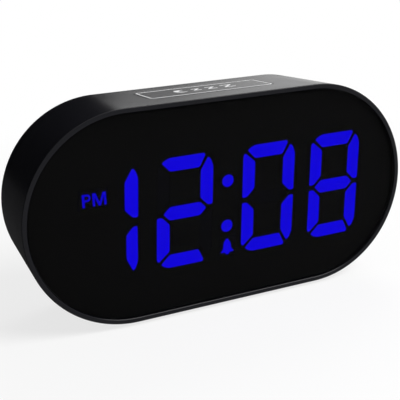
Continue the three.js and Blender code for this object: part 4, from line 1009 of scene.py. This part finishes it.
makeButtons()
makeKnobs()
makeWheel()
makeJack()
makeScrews()
print("controls made")

cell = {"radius": 5.25, "can": 5.1, "nub": 1.9, "nubLength": 1.0, "nubSoft": 0.2, "edge": 0.5, "band": 8.0,
        "shrink": 0.3, "lip": 0.2}


def makeCells():
    r, inner, edge, nub, shrink = (cell[part] for part in ("radius", "can", "edge", "nub", "shrink"))
    for i, side in ((1, 1), (2, -1)):
        low, high, place = nodeSpan(f"battery_cell_{i}")
        half = (high.x - low.x) / 2
        shoulder = half - cell["nubLength"]
        split = shoulder - cell["band"]
        lower = [(inner - edge + edge * math.sin(a), -half + edge * (1 - math.cos(a))) for a in quarter(4)]
        upper = [(inner - edge + edge * math.cos(a), shoulder - edge * (1 - math.sin(a))) for a in quarter(4)]
        tip = [(nub, shoulder), (nub, half - cell["nubSoft"]), (nub - cell["nubSoft"], half), (0, half)]
        profiles = {
            "can": [(0, -half), *lower, *upper, *tip],
            "label": [(0, shrink - half), (r - shrink, shrink - half), (r, 2 * shrink - half), (r, split),
                      (0, split)],
            "band": [(0, split), (r, split), (r, shoulder - shrink - cell["lip"]),
                     (r - shrink, shoulder - cell["lip"]), (0, shoulder - cell["lip"])]}
        lay = Matrix.Rotation(-side * math.pi / 2, 4, "Z")
        for title, slotName, finish in (("can", "tin", "steel"), ("label", "cell", "cell"),
                                        ("band", "cell", "cellBand")):
            made = moved(turned(profiles[title]), place.x, place.y, place.z, lay)
            finishPiece(made, f"cell_{i}_{title}", slotName, [f"battery_cell_{i}"], finish=finish)


makeCells()
print("cells made")

legend = {"height": 1.75, "capital": 0.73, "thick": 0.04, "sink": 0.02, "bold": 0.03, "spacing": 1.15,
          "overButton": 6.3, "overWheel": 3.9, "besideJack": 7.6, "overSlider": 3.4}


def letterMesh(words, x, z):
    # plain lettering in the built-in face, read from behind
    text = bpy.data.curves.new("letters", "FONT")
    text.body = words
    text.align_x = "CENTER"
    text.align_y = "CENTER"
    text.size = legend["height"] / legend["capital"]
    text.offset = legend["bold"]
    text.space_character = legend["spacing"]
    text.resolution_u = 4  # steps in a letter's curves
    holder = inScene("letters", text)
    data = bpy.data.meshes.new_from_object(holder.evaluated_get(bpy.context.evaluated_depsgraph_get()))
    bpy.data.objects.remove(holder)
    mesh = bmesh.new()
    mesh.from_mesh(data)
    for vertex in mesh.verts:
        vertex.co = (x - vertex.co.x, 0, z + vertex.co.y)
    bmesh.ops.remove_doubles(mesh, verts=mesh.verts, dist=1e-4)
    return thickened(mesh, cover["outer"] - legend["sink"], legend["thick"] + legend["sink"])


def makeLegends():
    wheelPlace, jackPlace = nodeMiddle("dimmer_wheel"), nodeMiddle("dc_jack")
    places = {"dimmer": ("DIM", wheelPlace.x, wheelPlace.z + legend["overWheel"]),
              "inlet": ("DC", jackPlace.x - legend["besideJack"], jackPlace.z)}
    for name, words in zip(buttonNames, ("TIME", "ALARM", "HOUR", "MIN")):
        place = nodeMiddle(f"{name}_button")
        places[name] = (words, place.x, place.z + legend["overButton"])
    for name, words in zip(sliderNames, ("ON   OFF", "LO   HI")):
        height = nodeMiddle(f"{name}_slider").z + legend["overSlider"]
        places[f"{name}_slide"] = (words, cover["sliderX"], height)
    for name, (words, x, z) in places.items():
        finishPiece(newObject(letterMesh(words, x, z)), f"legend_{name}", "print")


makeLegends()
print("legends made")

studio = {"floor": 0.86, "glow": 0.76, "reach": 4.0, "sides": 96, "fadeStart": 0.1, "fadeEnd": 0.32,
          "world": 0.2}
lamps = {
    "keyLamp": {"place": (0.45, -0.55, 0.75), "size": 0.6, "power": 11.0},
    "rearLamp": {"place": (0.45, 0.6, 0.75), "size": 0.6, "power": 3.0},
}
# metres and degrees from the middle of the floor; the slope is (degrees, height) along the card's top edge
card = {"near": 0.055, "radius": 0.5, "edge": 0.01, "lift": 0.001, "from": -100, "to": 10, "steps": 22,
        "height": 0.6, "slope": [(14, 0.182), (17, 0.138), (21.5, 0.138), (26, 0.118), (31, 0.09),
                                 (35, 0.045), (40, 0.002)]}


def whiteRays(tree):
    # 1 for camera, mirror and glass rays
    rays = addNode(tree, "LightPath").outputs
    both = mathOn(tree, "ADD", rays["Is Camera Ray"], rays["Is Glossy Ray"])
    return mathOn(tree, "MINIMUM", mathOn(tree, "ADD", both, rays["Is Transmission Ray"]), 1.0)


def makeWorld():
    world = bpy.data.worlds.new("studio")
    bpy.context.scene.world = world
    world.use_nodes = True
    tree = world.node_tree
    level = mathOn(tree, "MULTIPLY_ADD", whiteRays(tree), 1 - studio["world"], studio["world"])
    feed(tree, tree.nodes["Background"], {"Color": (1, 1, 1, 1), "Strength": level})


def makeFloor():
    # pale paper that keeps the shadow and turns white away from the object
    mesh = bmesh.new()
    mesh.faces.new([mesh.verts.new((x, y, 0)) for x, y in circle(0, 0, studio["reach"], studio["sides"])])
    floor = newObject(mesh, "floor")
    material = bpy.data.materials.new("paleFloor")
    material.use_nodes = True
    tree = material.node_tree
    tree.nodes.clear()
    paper = addNode(tree, "BsdfDiffuse", Color=(*[studio["floor"]] * 3, 1))
    glow = addNode(tree, "Emission")
    length = addNode(tree, "VectorMath")
    length.operation = "LENGTH"
    tree.links.new(addNode(tree, "TexCoord").outputs["Object"], length.inputs[0])
    fade = addNode(tree, "MapRange", Value=length.outputs["Value"], From_Min=studio["fadeStart"],
                   From_Max=studio["fadeEnd"], To_Min=studio["glow"])
    fade.interpolation_type = "SMOOTHSTEP"
    mix = addNode(tree, "MixShader", Fac=mathOn(tree, "MULTIPLY", fade.outputs["Result"], whiteRays(tree)))
    tree.links.new(paper.outputs["BSDF"], mix.inputs[1])
    tree.links.new(glow.outputs["Emission"], mix.inputs[2])
    addNode(tree, "OutputMaterial", Surface=mix.outputs["Shader"])
    floor.data.materials.append(material)


def makeCard():
    # a grey card on the floor and a black one up behind the left end, which only the shine of the case
    # sees; the black one slopes away to the right, so the shine along the top fades in slowly
    mesh = bmesh.new()
    reach, steps, tall = card["to"] - card["from"], card["steps"], card["height"]
    edge = [(card["from"] + reach * i / steps, tall) for i in range(steps + 1)]
    rows = [[], [], []]
    for degrees, rise in edge + card["slope"]:
        across, along = math.sin(math.radians(degrees)), math.cos(math.radians(degrees))
        near = card["near"] if rise == tall else card["radius"] - card["edge"]
        line = ((near, card["lift"]), (card["radius"], card["lift"]), (card["radius"], rise))
        for row, (radius, z) in zip(rows, line):
            row.append(mesh.verts.new((radius * across, radius * along, z)))
    for part, (low, high) in enumerate(zip(rows, rows[1:])):
        for i in range(len(low) - 1):
            mesh.faces.new((low[i], low[i + 1], high[i + 1], high[i])).material_index = part
    made = newObject(mesh, "black_card")
    for finish in ("greyCard", "mask"):
        made.data.materials.append(finishes[finish])
    for ray in ("camera", "diffuse", "transmission", "shadow"):
        setattr(made, f"visible_{ray}", False)


def makeLamps():
    for name, facts in lamps.items():
        light = bpy.data.lights.new(name, "AREA")
        light.shape = "DISK"
        light.size = facts["size"]
        light.energy = facts["power"]
        holder = inScene(name, light)
        place = Vector(facts["place"])
        aim = (middlePlace - place).to_track_quat("-Z", "Y").to_matrix().to_4x4()
        holder.matrix_world = Matrix.Translation(place) @ aim
        holder.visible_camera = False


makeWorld()
makeFloor()
makeCard()
makeLamps()
bpy.context.scene.view_settings.view_transform = "Standard"
print("studio made")
